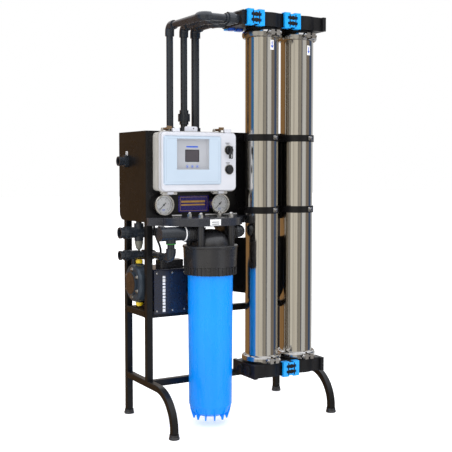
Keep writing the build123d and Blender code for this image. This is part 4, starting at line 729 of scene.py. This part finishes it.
def clip_pins(x, y, z, direction):
    """Adds the dark locking pieces that fill the middle of a seam clip."""
    matrix = placed((x, y, z), direction)
    for across in (-11 * MM, 11 * MM):
        slab(pins, 4 * MM, 38 * MM, 1.0 * MM, shifted(matrix, across, 0), 1 * MM, 0.4 * MM)
    for rise in (-8.5 * MM, 8.5 * MM):
        slab(pins, 30 * MM, 7 * MM, 1.3 * MM, shifted(matrix, 0, rise), 2 * MM, 0.4 * MM)
        turn(pins, [(0, 0), (STUD_RADIUS, 0), (STUD_RADIUS, 1.6 * MM), (5.2 * MM, STUD_TOP), (0, STUD_TOP)],
             shifted(matrix, 0, rise), 28)


for x in seams:
    clip_pins(x, clip_low.y + PIN_SINK, top_mid, FRONT)
    clip_pins(x, clip_high.y - PIN_SINK, top_mid, -FRONT)
clip_pins(seams[1], clip_low.y + PIN_SINK, low_mid, FRONT)
piece("clip_pins", pins, block_black, "unit")

VESSEL_ROWS = (-112 * MM, -68 * MM)
COVER_RADIUS, COVER_TOP, COVER_FACE = 15 * MM, 7.6 * MM, 7.15 * MM
covers = bmesh.new()
for y in VESSEL_ROWS:
    turn(covers, [(10 * MM, 0.2 * MM), (COVER_RADIUS, 0.2 * MM), (COVER_RADIUS, 6.6 * MM),
                  (13.6 * MM, COVER_TOP), (10.4 * MM, COVER_TOP), (9.6 * MM, COVER_FACE), (0, COVER_FACE),
                  (0, COVER_FACE - PRINT), (9 * MM, COVER_FACE - PRINT)],
         placed((low_block_low.x, y, low_mid), LEFT), 48)
piece("bottom_port_rings", covers, block_black, "unit")

# ---------------------------------------------------------------- pump details
head_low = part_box("pump_head")[0]
motor_low, motor_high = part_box("motor_body")
shaft_y, shaft_z = (motor_low.y + motor_high.y) / 2, (motor_low.z + motor_high.z) / 2
BOLT_COUNT, BOLT_CIRCLE, FLANGE_BACK = 6, 42 * MM, 7 * MM
pump_trim = bmesh.new()
for step in range(BOLT_COUNT):
    angle = math.radians(60 * step + 30)
    seat = Vector((head_low.x + FLANGE_BACK, shaft_y + BOLT_CIRCLE * math.cos(angle),
                   shaft_z + BOLT_CIRCLE * math.sin(angle)))
    bolt(pump_trim, seat, LEFT, 7 * MM, 4 * MM)
piece("pump_bolts", pump_trim, steel, "unit")
# A thin disc on the pump head's face carries the brown: painted reflection.
FACE_PROFILE = [(0, 0), (34, 0), (34, 0.6), (33, 1.0), (27, 0.4), (10, 0.4), (8, 1.2), (0, 1.2)]
painted_reflection_disc = bmesh.new()
turn(painted_reflection_disc, [(r * MM, h * MM) for r, h in FACE_PROFILE],
     placed((head_low.x - SEAT, shaft_y, shaft_z), LEFT), 72)
piece("pump_face", painted_reflection_disc, painted_reflection_brown, "unit")
FAN_RINGS, FAN_WIDTH = (12 * MM, 19 * MM, 26 * MM, 33 * MM), 2.6 * MM
fan = bmesh.new()
for radius in FAN_RINGS:
    ring(fan, (motor_high.x - SEAT, shaft_y, shaft_z), (1, 0, 0), radius, radius + FAN_WIDTH,
         1.4 * MM, 0.4 * MM)
piece("fan_guard", fan, pump_grey, "unit")

COVER_SHEET, MARK_SHIFT = 0.62 * MM, 33 * MM
# The cover's column of bars, in millimetres.
MARK_BARS, MARK_PITCH, MARK_FALL, MARK_WIDTH, MARK_SHORT, MARK_TALL = 11, 10.2, 2, 9, 7.4, 9.4
cover_low, cover_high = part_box("motor_cover")
cover_face = cover_low.y + COVER_SHEET
marking = bmesh.new()
stripes(marking, (cover_low.x + MARK_SHIFT, cover_face - SEAT, (cover_low.z + cover_high.z) / 2), FRONT,
        [(0, MARK_PITCH * (step - MARK_BARS / 2) - MARK_FALL, MARK_WIDTH, MARK_SHORT if step % 3 else MARK_TALL)
         for step in range(MARK_BARS)])
piece("cover_marking", marking, label_white, "unit")
fixings = bmesh.new()
for x in (cover_low.x + 9 * MM, cover_low.x + 62 * MM, cover_high.x - 8 * MM):
    for z in (cover_low.z + 9 * MM, cover_high.z - 12 * MM):
        screw(fixings, (x, cover_face, z), FRONT)
piece("cover_screws", fixings, steel, "unit")

# ---------------------------------------------------------------- stage, light and camera
EYE = Vector((-1.38557, -2.39168, 0.78700))
LOOK = Vector((LOOK_X, LOOK_Y, -0.05630))
IMAGE_WIDTH, SENSOR_WIDTH = 452, 36.0
FOCAL = 869.910  # in pixels
HORIZON_SHIFT = -0.02

camera_data = bpy.data.cameras.new("camera")
camera_data.sensor_width = SENSOR_WIDTH
camera_data.lens = SENSOR_WIDTH * FOCAL / IMAGE_WIDTH
camera_data.shift_y = HORIZON_SHIFT
camera = bpy.data.objects.new("camera", camera_data)
camera.location = EYE
camera.rotation_euler = LOOK.to_track_quat("-Z", "Y").to_euler()
bpy.context.scene.collection.objects.link(camera)
bpy.context.scene.camera = camera

FLOOR_SIZE, FLOOR_THICKNESS, FLOOR_CORNER = 40, 0.02, 0.5
floor_shape = bmesh.new()
slab(floor_shape, FLOOR_SIZE, FLOOR_SIZE, FLOOR_THICKNESS,
     Matrix.Translation((0, 0, -FLOOR_THICKNESS - PRINT)), FLOOR_CORNER)
floor_mesh = bpy.data.meshes.new("floor")
floor_shape.to_mesh(floor_mesh)
floor_shape.free()
floor_mesh.materials.append(surface("floor_pale", (0.86, 0.86, 0.86), (0.88, 0.88, 0.88), (0.60, 0.70),
                                    patch=2, bump=0, Emission_Color=(1, 1, 1, 1), Emission_Strength=0.45))
floor = bpy.data.objects.new("floor", floor_mesh)
floor.visible_glossy = False
bpy.context.scene.collection.objects.link(floor)

# Studio surroundings by bearing in degrees: 0 is behind the camera and positive bearings are to its left.
SURROUNDINGS = [
    (-180, (0.95, 0.95, 0.95)), (-126, (0.80, 0.80, 0.80)), (-120, (0.10, 0.15, 0.26)),
    (-97, (0.08, 0.13, 0.26)), (-92, (0.32, 0.27, 0.22)), (-68, (0.32, 0.27, 0.22)),
    (-63, (0.95, 0.94, 0.92)), (-37, (0.90, 0.90, 0.88)), (-34, (0.10, 0.10, 0.14)),
    (-30, (0.12, 0.12, 0.15)), (-27, (0.52, 0.48, 0.41)), (-12, (0.48, 0.44, 0.38)),
    (-8, (0.20, 0.19, 0.19)), (-4, (0.98, 0.92, 0.80)), (20, (0.98, 0.92, 0.80)),
    (24, (0.66, 0.62, 0.54)), (30, (1.00, 0.95, 0.84)), (58, (1.05, 1.00, 0.88)),
    (61, (0.06, 0.24, 0.55)), (79, (0.06, 0.24, 0.55)), (84, (0.42, 0.24, 0.10)),
    (170, (0.40, 0.22, 0.09)), (180, (0.60, 0.55, 0.50)),
]
SKY_COLOUR = (2.1, 2.15, 2.25)
SKY_START, SKY_FULL = 0.25, 0.70  # how far up a direction points where the sky begins and where it is full
SURROUNDINGS_STRENGTH = 0.72

world = bpy.data.worlds.new("studio")
bpy.context.scene.world = world
world.use_nodes = True
tree = world.node_tree
background = tree.nodes["Background"]
direction = node(tree, "ShaderNodeTexCoord").outputs["Generated"]
split = node(tree, "ShaderNodeSeparateXYZ")
tree.links.new(direction, split.inputs["Vector"])
away = -LOOK
left = Vector((-LOOK.y, LOOK.x, 0))


def along(axis):
    """Share of the direction that lies along a horizontal axis."""
    dot = node(tree, "ShaderNodeVectorMath", operation="DOT_PRODUCT")
    tree.links.new(direction, dot.inputs[0])
    dot.inputs[1].default_value = (axis.x, axis.y, 0)
    return dot.outputs["Value"]


bearing = node(tree, "ShaderNodeMath", operation="ARCTAN2")
tree.links.new(along(left), bearing.inputs[0])
tree.links.new(along(away), bearing.inputs[1])
fraction = spread(tree, bearing.outputs["Value"], 0, 1, -math.pi, math.pi)
ramp = node(tree, "ShaderNodeValToRGB")
tree.links.new(fraction, ramp.inputs["Fac"])
elements = ramp.color_ramp.elements
for index, (angle, colour) in enumerate(SURROUNDINGS):
    place = (angle + 180) / 360
    element = elements[index] if index < 2 else elements.new(place)
    element.position = place
    element.color = (*colour, 1)
sky = spread(tree, split.outputs["Z"], 0, 1, SKY_START, SKY_FULL)
over = node(tree, "ShaderNodeMix", data_type="RGBA")
colour_in = [s for s in over.inputs if s.type == "RGBA"]
tree.links.new(sky, over.inputs["Factor"])
tree.links.new(ramp.outputs["Color"], colour_in[0])
colour_in[1].default_value = (*SKY_COLOUR, 1)
tree.links.new([s for s in over.outputs if s.type == "RGBA"][0], background.inputs["Color"])
background.inputs["Strength"].default_value = SURROUNDINGS_STRENGTH
plain = node(tree, "ShaderNodeBackground", Strength=1.0, Color=(1.0, 1.0, 1.0, 1))
rays = node(tree, "ShaderNodeLightPath")
choose = node(tree, "ShaderNodeMixShader")
tree.links.new(rays.outputs["Is Camera Ray"], choose.inputs["Fac"])
tree.links.new(background.outputs["Background"], choose.inputs[1])
tree.links.new(plain.outputs["Background"], choose.inputs[2])
tree.links.new(choose.outputs["Shader"], tree.nodes["World Output"].inputs["Surface"])


def soft_light(name, location, target, size, power, colour):
    """Large area light aimed at a point."""
    data = bpy.data.lights.new(name, "AREA")
    data.shape = "RECTANGLE"
    data.size, data.size_y = size
    data.energy = power
    data.color = colour
    lamp = bpy.data.objects.new(name, data)
    lamp.location = location
    lamp.rotation_euler = (Vector(target) - Vector(location)).to_track_quat("-Z", "Y").to_euler()
    lamp.visible_glossy = False
    bpy.context.scene.collection.objects.link(lamp)


soft_light("key", (-1.6, -2.6, 2.6), (0, 0, 0.7), (1.6, 1.6), 22, (1.0, 0.99, 0.97))
soft_light("top", (0.2, -0.4, 3.0), (0, 0, 0.6), (2.2, 2.2), 12, (0.95, 0.97, 1.0))
soft_light("fill", (2.4, -1.8, 1.2), (0.1, 0, 0.6), (1.4, 1.8), 8, (0.96, 0.98, 1.0))

bpy.context.scene.view_settings.view_transform = "Standard"
